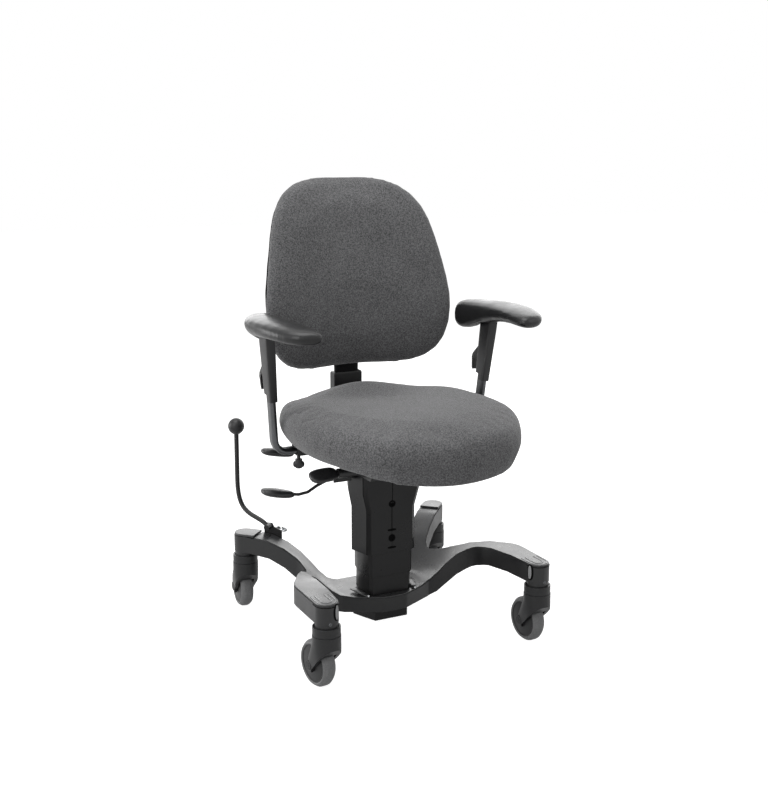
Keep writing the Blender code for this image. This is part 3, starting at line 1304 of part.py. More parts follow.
def make_clamp_screw(name, side):
    """Wing screw under the receiver that clamps an arm tube at its width."""
    x = side * CLAMP_X
    tube_under = ARM_RUN_Z - ARM_TUBE_DEPTH / 2
    stem_top = tube_under - GAP - 0.0006
    head_top = tube_under - SLIDE_FIT - RECEIVER_WALL - 0.0055
    screw = shaft(0.004, (x, ARM_Y, head_top - 0.020), (x, ARM_Y, stem_top))
    join(screw, shaft(0.0075, (x, ARM_Y, head_top - 0.024), (x, ARM_Y, head_top), 16))
    wings = mesh_of(soften(block((0.005, 0.027, 0.016), (x, ARM_Y, head_top - 0.018)), 0.0020, 1))
    join(screw, add_shape(welded(wings)))
    piece(f"{name}_arm_clamp_screw", screw, BLACK_PLASTIC, (x, ARM_Y, head_top))


def make_arms():
    for name, side in SIDES.items():
        make_arm_tube(name, side)
        make_arm_sleeve(name, side)
        make_arm_trigger(name, side)
        make_arm_pad(name, side)
        make_clamp_screw(name, side)


# Hand brake

def brake_point(outward, inboard, z):
    """Point by the rear right leg: outward from the brake pivot along the leg, and inboard of its axis."""
    place = rear_leg_point(BRAKE_PIVOT_ALONG - outward, -inboard, -1)
    return Vector((place.x, place.y, z))


def make_brake():
    """Side plate on the rear right leg with the hand lever and its wing screw."""
    z = BRAKE_PIVOT_Z
    side = LEG_WIDTH / 2 + GAP
    plate_middle = side + BRAKE_PLATE / 2
    turn = Matrix.Rotation(radians(-45), 3, "Z")
    plate_bottom = LEG_UNDERSIDE + 0.008
    plate_top = z + 0.0065
    plate = block((0.044, BRAKE_PLATE, plate_top - plate_bottom),
                  brake_point(-0.008, plate_middle, (plate_bottom + plate_top) / 2), turn)
    cut(plate, shaft(0.004 + SPIN_FIT, brake_point(0, side - 0.01, z), brake_point(0, side + 0.02, z), 16))
    screw_z = z - 0.016
    cut(plate, shaft(0.003 + SPIN_FIT, brake_point(-BRAKE_SCREW_INBOARD, side - 0.01, screw_z),
                     brake_point(-BRAKE_SCREW_INBOARD, side + 0.02, screw_z)))
    piece("brake_bracket", plate, BLACK_STEEL)

    head = side + BRAKE_PLATE + GAP
    screw = shaft(0.003, brake_point(-BRAKE_SCREW_INBOARD, side + GAP, screw_z),
                  brake_point(-BRAKE_SCREW_INBOARD, head + 0.012, screw_z))
    join(screw, shaft(0.0055, brake_point(-BRAKE_SCREW_INBOARD, head, screw_z),
                      brake_point(-BRAKE_SCREW_INBOARD, head + 0.009, screw_z)))
    wing_place = brake_point(-BRAKE_SCREW_INBOARD, head + 0.012, screw_z)
    wings = mesh_of(soften(block((0.024, 0.010, 0.004), wing_place, turn), 0.0016, 1))
    join(screw, add_shape(welded(wings)))
    piece("brake_wing_screw", screw, STEEL, brake_point(-BRAKE_SCREW_INBOARD, head, screw_z))

    lean = 0.0168
    route = [
        brake_point(0, lean, z), brake_point(0.008, lean + 0.002, z + 0.006),
        brake_point(0.0198, lean + 0.004, z + 0.0126),
        brake_point(0.0567, lean + 0.013, z + 0.026), brake_point(0.0770, lean + 0.018, z + 0.047),
        brake_point(0.0850, lean + 0.0195, z + 0.083), brake_point(0.0850, lean + 0.0195, z + 0.140),
        brake_point(0.0850, lean + 0.0195, z + 0.220),
    ]
    rod = tube(smooth_route(route, 3), BRAKE_ROD_RADIUS)
    barrel_inner = side - 0.0003 - 0.018
    join(rod, shaft(BRAKE_BARREL_RADIUS, brake_point(0, barrel_inner, z), brake_point(0, side - GAP, z), 16))
    join(rod, shaft(0.004, brake_point(0, barrel_inner + 0.004, z), brake_point(0, head + 0.002, z), 16))
    piece("brake_lever", rod, BLACK_STEEL, brake_point(0, lean, z))
    rod_end = route[-1]
    knob = ball(BRAKE_KNOB_RADIUS, rod_end + Vector((0, 0, 0.011)), 16)
    cut(knob, shaft(BRAKE_ROD_RADIUS + GAP, rod_end - Vector((0, 0, 0.03)), rod_end + Vector((0, 0, GAP)),
                    SHAFT_STEPS))
    piece("brake_knob", knob, BLACK_PLASTIC, brake_point(0, lean, z))


make_base()
make_base_cover()
make_end_caps()
make_castors()
make_column()
make_mechanism()
make_mechanism_levers()
make_seat()
make_back()
make_arms()
make_brake()
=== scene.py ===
# %% [markdown]
# # An activity chair, dressed for its portrait
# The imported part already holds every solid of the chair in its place. This lesson adds what the
# eye sees: upholstery that swells over its foam, speckled wool, moulded grain, satin steel and
# the small marks of manufacture. Both share one frame: metres, +Z up, the sitter facing -Y.

import json
from math import atan2, cos, exp, pi, radians, sin

import bmesh
import bpy
from mathutils import Matrix, Vector


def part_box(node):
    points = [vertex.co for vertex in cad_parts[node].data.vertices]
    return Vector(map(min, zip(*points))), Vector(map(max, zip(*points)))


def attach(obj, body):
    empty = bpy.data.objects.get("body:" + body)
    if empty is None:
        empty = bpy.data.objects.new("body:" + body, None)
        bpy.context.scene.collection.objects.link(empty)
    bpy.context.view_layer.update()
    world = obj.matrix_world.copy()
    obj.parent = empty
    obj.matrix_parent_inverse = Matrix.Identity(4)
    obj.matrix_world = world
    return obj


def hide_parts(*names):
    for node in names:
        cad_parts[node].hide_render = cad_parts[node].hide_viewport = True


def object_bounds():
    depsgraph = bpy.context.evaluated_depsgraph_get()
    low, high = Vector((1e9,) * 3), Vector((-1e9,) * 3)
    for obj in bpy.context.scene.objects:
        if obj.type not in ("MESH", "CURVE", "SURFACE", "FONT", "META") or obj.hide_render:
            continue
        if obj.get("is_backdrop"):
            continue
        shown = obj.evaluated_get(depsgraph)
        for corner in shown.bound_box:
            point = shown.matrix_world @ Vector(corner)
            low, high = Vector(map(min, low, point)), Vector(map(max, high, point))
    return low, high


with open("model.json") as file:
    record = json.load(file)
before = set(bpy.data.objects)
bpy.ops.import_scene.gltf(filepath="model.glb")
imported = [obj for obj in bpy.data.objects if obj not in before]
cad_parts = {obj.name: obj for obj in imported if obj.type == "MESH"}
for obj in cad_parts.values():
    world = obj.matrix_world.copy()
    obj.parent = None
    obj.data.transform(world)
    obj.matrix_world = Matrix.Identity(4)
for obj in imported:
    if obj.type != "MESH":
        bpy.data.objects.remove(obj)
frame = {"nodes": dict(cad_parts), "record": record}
NODES = frame["nodes"]
CAD_LOW, CAD_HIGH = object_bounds()
print("solids:", len(NODES), "height of the chair:", round(CAD_HIGH.z, 3), "m")

# %% [markdown]
# The photograph was taken from the sitter's right front, about as high as the top of the back.
# Camera position, angles and lens were worked out once from the castor collars, the arm sleeves
# and the arm pads, so they are written as plain values.

# %% The camera stands where the photographer stood
CAMERA_PLACE = Vector((-1.109, -2.195, 1.065))
CAMERA_TURN = radians(-26.57)
CAMERA_DOWN = radians(11.93)

camera_data = bpy.data.cameras.new("photo_camera")
camera_data.lens = 52.42
camera_data.sensor_width = 36
camera = bpy.data.objects.new("photo_camera", camera_data)
bpy.context.scene.collection.objects.link(camera)
away = Vector((sin(CAMERA_TURN) * cos(CAMERA_DOWN), -cos(CAMERA_TURN) * cos(CAMERA_DOWN), sin(CAMERA_DOWN)))
rightward = Vector((cos(CAMERA_TURN), sin(CAMERA_TURN), 0))
stance = Matrix((rightward, away.cross(rightward), away)).transposed().to_4x4()
stance.translation = CAMERA_PLACE
camera.matrix_world = stance
bpy.context.scene.camera = camera
bpy.context.scene.view_settings.view_transform = "Standard"
print("camera", [round(value, 3) for value in CAMERA_PLACE])

# %% [markdown]
# Nodes are wired many times below, so small helpers come first. `add_node` makes a node and sets
# its fields, `feed` sends a socket or a plain number into an input, and `calculate` makes one
# step of arithmetic. They keep each finish down to the lines that describe it.

# %% Small helpers for wiring nodes


def add_node(tree, kind, **fields):
    node = tree.nodes.new(kind)
    for name, value in fields.items():
        setattr(node, name, value)
    return node


def feed(tree, source, target):
    if isinstance(source, bpy.types.NodeSocket):
        tree.links.new(source, target)
    else:
        target.default_value = source


def calculate(tree, operation, *values):
    node = add_node(tree, "ShaderNodeMath", operation=operation)
    for value, socket in zip(values, node.inputs):
        feed(tree, value, socket)
    return node.outputs[0]


def fit_range(tree, value, low, high, new_low=0.0, new_high=1.0):
    node = add_node(tree, "ShaderNodeMapRange")
    for source, socket in zip((value, low, high, new_low, new_high), node.inputs):
        feed(tree, source, socket)
    return node.outputs[0]


def mix_colours(tree, share, first, second):
    node = add_node(tree, "ShaderNodeMix", data_type="RGBA")
    feed(tree, share, node.inputs[0])
    feed(tree, first, node.inputs[6])
    feed(tree, second, node.inputs[7])
    return node.outputs[2]


def noise(tree, place, scale, detail=2.0, roughness=0.5):
    node = add_node(tree, "ShaderNodeTexNoise")
    feed(tree, place, node.inputs["Vector"])
    feed(tree, scale, node.inputs["Scale"])
    node.inputs["Detail"].default_value = detail
    node.inputs["Roughness"].default_value = roughness
    return node.outputs[0]


def add_bump(tree, shader, height, depth, normal=None):
    bump = add_node(tree, "ShaderNodeBump")
    bump.inputs["Distance"].default_value = depth
    feed(tree, height, bump.inputs["Height"])
    if normal is not None:
        feed(tree, normal, bump.inputs["Normal"])
    feed(tree, bump.outputs[0], shader.inputs["Normal"])


def new_finish(name):
    """A new material with its nodes and its shader."""
    material = bpy.data.materials.new(name)
    material.use_nodes = True
    return material, material.node_tree, material.node_tree.nodes["Principled BSDF"]


def new_group(name, inputs, outputs):
    """A shader node group; inputs are (name, kind, value) and outputs (name, kind)."""
    tree = bpy.data.node_groups.new(name, "ShaderNodeTree")
    for label, kind, value in inputs:
        socket = tree.interface.new_socket(label, in_out="INPUT", socket_type=kind)
        socket.default_value = value
    for label, kind in outputs:
        tree.interface.new_socket(label, in_out="OUTPUT", socket_type=kind)
    return tree, tree.nodes.new("NodeGroupInput").outputs, tree.nodes.new("NodeGroupOutput").inputs


NUMBER = "NodeSocketFloat"
COLOUR = "NodeSocketColor"
DIRECTION = "NodeSocketVector"
print("wiring helpers ready")

# %% [markdown]
# Moulded plastic and powder coat are never mirror smooth. The real surfaces carry a fine
# pebbled grain, pressed in by the tool or left by the powder. Two sizes of noise make it; the
# group gives a height for the bump and a shade that nudges colour and roughness together.

# %% Grain of moulded plastic and powder coat
grain_tree, grain_in, grain_out = new_group(
    "moulded_grain",
    [("Grains per metre", NUMBER, 1400.0)],
    [("Height", NUMBER), ("Shade", NUMBER)],
)
place = grain_tree.nodes.new("ShaderNodeTexCoord").outputs["Object"]
fine = noise(grain_tree, place, grain_in["Grains per metre"], 2.0, 0.6)
pebble_scale = calculate(grain_tree, "MULTIPLY", grain_in["Grains per metre"], 0.35)
pebble = noise(grain_tree, place, pebble_scale, 3.0, 0.55)
height = calculate(grain_tree, "ADD", calculate(grain_tree, "MULTIPLY", fine, 0.6),
                   calculate(grain_tree, "MULTIPLY", pebble, 0.4))
feed(grain_tree, height, grain_out["Height"])
feed(grain_tree, fit_range(grain_tree, pebble, 0.3, 0.7), grain_out["Shade"])
print("group:", grain_tree.name)

# %% [markdown]
# The edges of a used chair are a little rounded and a little lighter, because hands and door
# frames polish them. A Bevel node rounds the shading normal, and the angle between that
# normal and the true one is large only near an edge: that difference is the wear mask. Noise
# breaks it up so that wear comes in patches.

# %% Rounded and worn edges
edge_tree, edge_in, edge_out = new_group(
    "worn_edges",
    [("Edge radius", NUMBER, 0.0012), ("Wear", NUMBER, 0.5)],
    [("Normal", DIRECTION), ("Mask", NUMBER)],
)
rounding = add_node(edge_tree, "ShaderNodeBevel", samples=4)
feed(edge_tree, edge_in["Edge radius"], rounding.inputs["Radius"])
true_normal = edge_tree.nodes.new("ShaderNodeNewGeometry").outputs["Normal"]
alike = add_node(edge_tree, "ShaderNodeVectorMath", operation="DOT_PRODUCT")
feed(edge_tree, rounding.outputs[0], alike.inputs[0])
feed(edge_tree, true_normal, alike.inputs[1])
edge_amount = fit_range(edge_tree, alike.outputs["Value"], 0.995, 0.80)
patches = noise(edge_tree, edge_tree.nodes.new("ShaderNodeTexCoord").outputs["Object"], 60.0, 4.0, 0.6)
patchy = calculate(edge_tree, "MULTIPLY", edge_amount, fit_range(edge_tree, patches, 0.42, 0.62))
feed(edge_tree, rounding.outputs[0], edge_out["Normal"])
feed(edge_tree, calculate(edge_tree, "MULTIPLY", patchy, edge_in["Wear"]), edge_out["Mask"])
print("group:", edge_tree.name)

# %% [markdown]
# Handling leaves faint clouds of grease and dust that change how glossy a surface is. The
# group gives a slow cloud for roughness, and a dust mask that is strongest on faces that look
# up, where dust settles.

# %% Handling marks and settled dust
wear_tree, wear_in, wear_out = new_group(
    "handling_marks",
    [("Cloud size", NUMBER, 18.0)],
    [("Cloud", NUMBER), ("Dust", NUMBER)],
)
place = wear_tree.nodes.new("ShaderNodeTexCoord").outputs["Object"]
cloud = noise(wear_tree, place, wear_in["Cloud size"], 5.0, 0.6)
specks = noise(wear_tree, place, 420.0, 2.0, 0.7)
up_facing = add_node(wear_tree, "ShaderNodeSeparateXYZ")
feed(wear_tree, wear_tree.nodes.new("ShaderNodeNewGeometry").outputs["Normal"], up_facing.inputs[0])
settled = calculate(wear_tree, "MULTIPLY", fit_range(wear_tree, up_facing.outputs["Z"], 0.5, 1.0),
                    fit_range(wear_tree, specks, 0.52, 0.68))
feed(wear_tree, fit_range(wear_tree, cloud, 0.35, 0.65), wear_out["Cloud"])
feed(wear_tree, settled, wear_out["Dust"])
print("group:", wear_tree.name)

# %% [markdown]
# Most hard finishes on the chair are built the same way: a colour that the grain shades
# slightly, worn edges that show a lighter tone, a roughness that clouds vary, and a bump from
# the grain on top of the rounded edge normal. One function makes them, and each finish below
# is then a handful of values in the words of a maker.

# %% A recipe for hard finishes


def hard_finish(name, colour, worn_colour, roughness, grains, grain_depth, edge_radius,
                wear=0.5, dust=0.12, specular=0.5):
    material, tree, shader = new_finish(name)
    grain = add_node(tree, "ShaderNodeGroup", node_tree=grain_tree)
    edges = add_node(tree, "ShaderNodeGroup", node_tree=edge_tree)
    marks = add_node(tree, "ShaderNodeGroup", node_tree=wear_tree)
    grain.inputs["Grains per metre"].default_value = grains
    edges.inputs["Edge radius"].default_value = edge_radius
    edges.inputs["Wear"].default_value = wear
    darker = (*[channel * 0.86 for channel in colour], 1)
    lighter = (*[channel * 1.12 for channel in colour], 1)
    shaded = mix_colours(tree, grain.outputs["Shade"], darker, lighter)
    worn = mix_colours(tree, edges.outputs["Mask"], shaded, (*worn_colour, 1))
    dusty = calculate(tree, "MULTIPLY", marks.outputs["Dust"], dust)
    feed(tree, mix_colours(tree, dusty, worn, (0.33, 0.33, 0.33, 1)), shader.inputs["Base Color"])
    cloudy = fit_range(tree, marks.outputs["Cloud"], 0, 1, roughness - 0.05, roughness + 0.06)
    feed(tree, cloudy, shader.inputs["Roughness"])
    shader.inputs["Specular IOR Level"].default_value = specular
    add_bump(tree, shader, grain.outputs["Height"], grain_depth, edges.outputs["Normal"])
    return material


CAST_GREY = hard_finish("cast_grey", (0.016, 0.0162, 0.017), (0.070, 0.070, 0.073), 0.34, 1500,
                        0.00004, 0.0012, specular=0.42)
COVER_GREY = hard_finish("cover_grey", (0.034, 0.0345, 0.036), (0.110, 0.110, 0.114), 0.30, 1700,
                         0.00003, 0.0010, specular=0.55)
COLUMN_BLACK = hard_finish("column_black", (0.0085, 0.0085, 0.009), (0.040, 0.040, 0.042), 0.30, 1500,
                           0.00003, 0.0009, specular=0.26)
# Deep black serves real black trim, and also the black strips and ovals of painted shade in joints,
# recesses and grooves.
DEEP_BLACK = hard_finish("deep_black", (0.0009, 0.0009, 0.0010), (0.006, 0.006, 0.006), 0.60, 1500,
                         0.00003, 0.0006, wear=0.2, dust=0.01, specular=0.05)
# Painted highlight: a light grey for the ribs and plugs on the front legs, standing in for the highlights
# on their raised edges.
PAINTED_HIGHLIGHT_GREY = hard_finish("painted_highlight_grey", (0.270, 0.272, 0.276), (0.420, 0.420, 0.424), 0.30, 1500,
                         0.00003, 0.0006, specular=0.55)
CASTOR_GREY = hard_finish("castor_grey", (0.0135, 0.0137, 0.0145), (0.060, 0.060, 0.062), 0.38, 1600,
                          0.00004, 0.0012, specular=0.34)
BLACK_STEEL = hard_finish("black_steel", (0.008, 0.008, 0.0085), (0.080, 0.080, 0.080), 0.36, 1300,
                          0.00005, 0.0008, specular=0.40)
BLACK_PLASTIC = hard_finish("black_plastic", (0.012, 0.012, 0.0125), (0.050, 0.050, 0.050), 0.38, 1500,
                            0.00004, 0.0010, specular=0.40)
SHELL_BLACK = hard_finish("shell_black", (0.011, 0.011, 0.0115), (0.040, 0.040, 0.040), 0.66, 700,
                          0.00012, 0.0010, wear=0.3, dust=0.02, specular=0.10)
SLEEVE_GREY = hard_finish("sleeve_grey", (0.022, 0.022, 0.023), (0.070, 0.070, 0.070), 0.36, 1500,
                          0.00004, 0.0014, specular=0.42)
print("hard finishes:", 10)

# %% [markdown]
# The arm tubes are satin steel, drawn and then brushed along their length, so the scratches
# are long and thin. Stretching a noise along one axis gives that; on the upright the
# stretch runs along Z.

# %% Satin steel
brushed_tree, brushed_in, brushed_out = new_group(
    "brushed_lines",
    [("Lines per metre", NUMBER, 2600.0)],
    [("Height", NUMBER), ("Shade", NUMBER)],
)
stretch = add_node(brushed_tree, "ShaderNodeMapping")
stretch.inputs["Scale"].default_value = (1.0, 1.0, 0.03)
feed(brushed_tree, brushed_tree.nodes.new("ShaderNodeTexCoord").outputs["Object"], stretch.inputs["Vector"])
lines = noise(brushed_tree, stretch.outputs[0], brushed_in["Lines per metre"], 2.0, 0.7)
feed(brushed_tree, lines, brushed_out["Height"])
feed(brushed_tree, fit_range(brushed_tree, lines, 0.3, 0.7), brushed_out["Shade"])


def metal_finish(name, dark, light, roughness, line_depth, edge_radius=0.0010):
    material, tree, shader = new_finish(name)
    brushed = add_node(tree, "ShaderNodeGroup", node_tree=brushed_tree)
    edges = add_node(tree, "ShaderNodeGroup", node_tree=edge_tree)
    marks = add_node(tree, "ShaderNodeGroup", node_tree=wear_tree)
    edges.inputs["Edge radius"].default_value = edge_radius
    tone = mix_colours(tree, brushed.outputs["Shade"], (*dark, 1), (*light, 1))
    feed(tree, tone, shader.inputs["Base Color"])
    feed(tree, fit_range(tree, marks.outputs["Cloud"], 0, 1, roughness - 0.04, roughness + 0.06),
         shader.inputs["Roughness"])
    shader.inputs["Metallic"].default_value = 1.0
    add_bump(tree, shader, brushed.outputs["Height"], line_depth, edges.outputs["Normal"])
    return material


TUBE_STEEL = metal_finish("tube_steel", (0.075, 0.077, 0.080), (0.130, 0.133, 0.138), 0.32, 0.00002)
BRIGHT_STEEL = metal_finish("bright_steel", (0.50, 0.51, 0.52), (0.66, 0.67, 0.68), 0.28, 0.00002, 0.0006)
print("metal finishes:", 2)

# %% [markdown]
# The arm pads are black foam with a moulded skin, soft to the touch, and their highlights are
# broad and a little milky. The tyres are a grey thermoplastic that stays matt. Both are the
# recipe for hard finishes with other values: a leathery grain and hardly any wear.

# %% Skin of the arm pads, and the tyres
PAD_SKIN = hard_finish("pad_skin", (0.011, 0.011, 0.0115), (0.030, 0.030, 0.030), 0.33, 900,
                       0.00005, 0.0010, wear=0.2, dust=0.04, specular=0.40)
TYRE_GREY = hard_finish("tyre_grey", (0.165, 0.166, 0.168), (0.220, 0.220, 0.220), 0.58, 800,
                        0.00006, 0.0012, wear=0.3, dust=0.2, specular=0.40)
print("pad and tyre finishes ready")

# %% [markdown]
# The cover is a charcoal wool blend. Close up it is a melange: near-black and light grey
# fibres carded together, then woven and lightly felted, which gives speckles of one to three
# millimetres and no clear thread. Three sizes of noise make the speckle, a fine diagonal wave
# hints at the twill, and a little sheen catches the light on the turned edges.

# %% Melange wool
wool_tree, wool_in, wool_out = new_group(
    "melange_wool",
    [("Dark fibre", COLOUR, (0.03, 0.03, 0.03, 1)), ("Light fibre", COLOUR, (0.2, 0.2, 0.2, 1)),
     ("Specks per metre", NUMBER, 330.0)],
    [("Colour", COLOUR), ("Height", NUMBER)],
)
place = wool_tree.nodes.new("ShaderNodeTexCoord").outputs["Object"]
tufts = noise(wool_tree, place, wool_in["Specks per metre"], 3.0, 0.7)
finer = calculate(wool_tree, "MULTIPLY", wool_in["Specks per metre"], 3.2)
fibres = noise(wool_tree, place, finer, 2.0, 0.7)
drift = noise(wool_tree, place, 14.0, 3.0, 0.5)
coarse_part = calculate(wool_tree, "MULTIPLY", fit_range(wool_tree, tufts, 0.40, 0.62), 0.60)
fine_part = calculate(wool_tree, "MULTIPLY", fit_range(wool_tree, fibres, 0.40, 0.62), 0.40)
speckle = calculate(wool_tree, "ADD", coarse_part, fine_part)
drifted = calculate(wool_tree, "ADD", speckle, fit_range(wool_tree, drift, 0.3, 0.7, -0.05, 0.05))
melange = mix_colours(wool_tree, drifted, wool_in["Dark fibre"], wool_in["Light fibre"])
feed(wool_tree, melange, wool_out["Colour"])
twill = add_node(wool_tree, "ShaderNodeTexWave", bands_direction="DIAGONAL")
feed(wool_tree, place, twill.inputs["Vector"])
twill.inputs["Scale"].default_value = 190.0
twill.inputs["Distortion"].default_value = 3.0
twill.inputs["Detail"].default_value = 2.0
nap = calculate(wool_tree, "ADD", calculate(wool_tree, "MULTIPLY", twill.outputs["Fac"], 0.35),
                calculate(wool_tree, "MULTIPLY", fibres, 0.65))
feed(wool_tree, nap, wool_out["Height"])

CHARCOAL_WOOL, cover_tree, wool_shader = new_finish("charcoal_wool")
wool = add_node(cover_tree, "ShaderNodeGroup", node_tree=wool_tree)
wool.inputs["Dark fibre"].default_value = (0.022, 0.022, 0.023, 1)
wool.inputs["Light fibre"].default_value = (0.200, 0.200, 0.205, 1)
feed(cover_tree, wool.outputs["Colour"], wool_shader.inputs["Base Color"])
wool_shader.inputs["Roughness"].default_value = 0.92
wool_shader.inputs["Sheen Weight"].default_value = 0.25
wool_shader.inputs["Sheen Roughness"].default_value = 0.45
add_bump(cover_tree, wool_shader, wool.outputs["Height"], 0.0006)
print("fabric ready")

# %% [markdown]
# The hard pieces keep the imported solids. Each gets its finish by its slot or by the ending of
# its name, smooth shading across the small angles between facets, and narrow rounded edges
# where faces meet at more than 35 degrees. Modifiers do this, so the solids stay where they are.

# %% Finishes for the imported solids
FINISH_OF_SLOT = {
    "cast_base": CAST_GREY,
    "base_cover": COVER_GREY,
    "column": COLUMN_BLACK,
    "castor_plastic": CASTOR_GREY,
    "tyre": TYRE_GREY,
    "steel": BRIGHT_STEEL,
    "arm_tube": TUBE_STEEL,
    "black_steel": BLACK_STEEL,
    "black_plastic": BLACK_PLASTIC,
    "arm_pad": PAD_SKIN,
    "fabric": CHARCOAL_WOOL,
}
FINISH_OF_ENDING = {"_arm_sleeve": SLEEVE_GREY, "_axle": CASTOR_GREY, "back_shell": SHELL_BLACK}
EDGE_WIDTH = {"cast_base": 0.0020, "base_cover": 0.0012, "column": 0.0012, "castor_plastic": 0.0012,
              "tyre": 0.0020, "steel": 0.0004, "black_steel": 0.0008}
ROUND_NODES = ("_tyre", "_wheel_hub", "_castor_collar", "brake_knob")
SHEET_NODES = ("back_shell",)


def add_modifier(solid, name, kind, **fields):
    modifier = solid.modifiers.new(name, kind)
    for field, value in fields.items():
        setattr(modifier, field, value)


def join_facets(solid):
    add_modifier(solid, "joined_facets", "WELD", merge_threshold=0.00001)


def soften_edges(solid, width):
    """Join the facets, round the edges where faces meet at an angle, and shade the rest smooth."""
    join_facets(solid)
    add_modifier(solid, "flat_faces", "DECIMATE", decimate_type="DISSOLVE", angle_limit=radians(1.0))
    add_modifier(solid, "rounded_edges", "BEVEL", limit_method="ANGLE", angle_limit=radians(35),
                 width=width, segments=2)
    add_modifier(solid, "even_shading", "WEIGHTED_NORMAL", weight=50)
    solid.data.shade_smooth()


def subdivide(solid, levels):
    add_modifier(solid, "rounder", "SUBSURF", levels=levels, render_levels=levels)


def finish_of(name):
    for ending, finish in FINISH_OF_ENDING.items():
        if name.endswith(ending):
            return finish
    return FINISH_OF_SLOT[slot_of[name]]


slot_of = {entry["node"]: entry["material_slot"] for entry in frame["record"]["subparts"]}
for name, solid in NODES.items():
    solid.data.materials.clear()
    solid.data.materials.append(finish_of(name))
    if name in SHEET_NODES:
        join_facets(solid)
        subdivide(solid, 2)
        solid.data.shade_smooth()
        continue
    soften_edges(solid, EDGE_WIDTH.get(slot_of[name], 0.0010))
    if name.endswith(ROUND_NODES):
        subdivide(solid, 2)
print("finished solids:", len(NODES))

# %% [markdown]
# A cushion is foam under a stretched cover: pressure from inside, tension outside. The packed
# cushion solid is copied, remeshed into even quads, shrunk a little, and blown up as cloth
# with its fixed face pinned, so that the cover draws tight over the crown and turns in at the
# hem. A cap keeps every point close to the foam, and the result becomes a plain mesh.

# %% Helpers for stuffed pieces


def into_scene(name, data):
    thing = bpy.data.objects.new(name, data)
    bpy.context.scene.collection.objects.link(thing)
    return thing


def as_piece(mesh, name, finish, body):
    piece = into_scene(name, mesh)
    mesh.materials.clear()
    mesh.materials.append(finish)
    mesh.shade_smooth()
    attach(piece, body)
    return piece


def evaluated_mesh(holder):
    bpy.context.view_layer.update()
    mesh = bpy.data.meshes.new_from_object(holder.evaluated_get(bpy.context.evaluated_depsgraph_get()))
    mesh.name = holder.name
    return mesh


def even_copy(node, voxel, inset, relaxing=4):
    """The node's mesh as even quads, moved inward by a distance."""
    holder = into_scene(node + "_foam", NODES[node].data.copy())
    join_facets(holder)
    add_modifier(holder, "even_quads", "REMESH", mode="VOXEL", voxel_size=voxel)
    add_modifier(holder, "relax", "SMOOTH", iterations=relaxing, factor=0.5)
    mesh = evaluated_mesh(holder)
    bpy.data.objects.remove(holder)
    for vertex in mesh.vertices:
        vertex.co -= vertex.normal * inset
    return mesh


def swell(mesh, pinned, pressure, cap, last_frame=20):
    """Blow the mesh up as cloth; pinned says which points stay on the shell."""
    holder = into_scene("swelling", mesh)
    start = [vertex.co.copy() for vertex in mesh.vertices]
    pins = holder.vertex_groups.new(name="on_shell")
    pins.add([vertex.index for vertex in mesh.vertices if pinned(vertex)], 1.0, "REPLACE")
    cloth = holder.modifiers.new("cover", "CLOTH")
    cloth.settings.quality = 4
    cloth.settings.use_pressure = True
    cloth.settings.uniform_pressure_force = pressure
    cloth.settings.tension_stiffness = 20
    cloth.settings.compression_stiffness = 20
    cloth.settings.effector_weights.gravity = 0
    cloth.settings.vertex_group_mass = "on_shell"
    cloth.collision_settings.use_collision = False
    for number in range(1, last_frame + 1):
        bpy.context.scene.frame_set(number)
    result = evaluated_mesh(holder)
    furthest = 0.0
    for vertex, before in zip(result.vertices, start):
        move = vertex.co - before
        furthest = max(furthest, move.length)
        if move.length > cap:
            vertex.co = before + move.normalized() * cap
    bpy.data.objects.remove(holder)
    bpy.context.scene.frame_set(1)
    print("cover moved up to", round(furthest * 1000, 1), "mm, cap", round(cap * 1000, 1), "mm")
    return result


def finished_pad(mesh, node, name, finish, body):
    pad = as_piece(mesh, name, finish, body)
    subdivide(pad, 1)
    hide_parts(node)
    return pad


# %% [markdown]
# The seat foam is cut fuller than its cage: wider above the hem, raised in the middle of its
# rear edge where it meets the sitter, and full at the front like a waterfall. The seat pad rests
# on its plastic shell, so its underside is pinned while the cover is blown up.

# %% Seat cushion
SEAT_LOW, SEAT_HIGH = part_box("seat_cushion")
SEAT_HEM = SEAT_LOW.z + 0.010
SEAT_WIDER = 0.036           # share by which the foam is wider above the hem
SEAT_TUCK = 0.020            # share by which it is narrower at its lower edge
SEAT_REAR_OUT = 0.004
SEAT_FRONT_IN = 0.006
SEAT_CROWN = 0.016           # rise of the middle of the rear edge
SEAT_REAR_RISE = 0.0015
SEAT_SHOULDER_DROP = 0.0042
SEAT_SIDE_RISE = 0.0030
SEAT_FRONT_DROP = 0.0075


def smooth_step(value):
    value = min(1.0, max(0.0, value))
    return value * value * (3 - 2 * value)


def full_seat(mesh):
    """Move the foam's points to the fuller form."""
    for vertex in mesh.vertices:
        x, y, z = vertex.co
        upper = smooth_step((z - SEAT_HEM - 0.008) / 0.040)
        top = smooth_step((z - SEAT_HEM - 0.038) / 0.040)
        lower = 1 - smooth_step((z - SEAT_HEM + 0.002) / 0.050)
        rear = smooth_step((y - 0.040) / 0.100)
        front = smooth_step((-0.120 - y) / 0.160)
        middle = exp(-(x / 0.085) ** 2)
        shoulder = exp(-((abs(x) - 0.150) / 0.050) ** 2)
        tuck = 1 - smooth_step((z - SEAT_LOW.z) / 0.026)
        vertex.co.x += x * (SEAT_WIDER * upper - SEAT_TUCK * tuck)
        vertex.co.y += SEAT_REAR_OUT * rear - SEAT_FRONT_IN * front
        lift = SEAT_CROWN * middle * rear + SEAT_REAR_RISE * rear - SEAT_SHOULDER_DROP * shoulder * rear
        lift += SEAT_SIDE_RISE * smooth_step((abs(x) - 0.120) / 0.090)
        vertex.co.z += top * lift - lower * front * SEAT_FRONT_DROP * middle


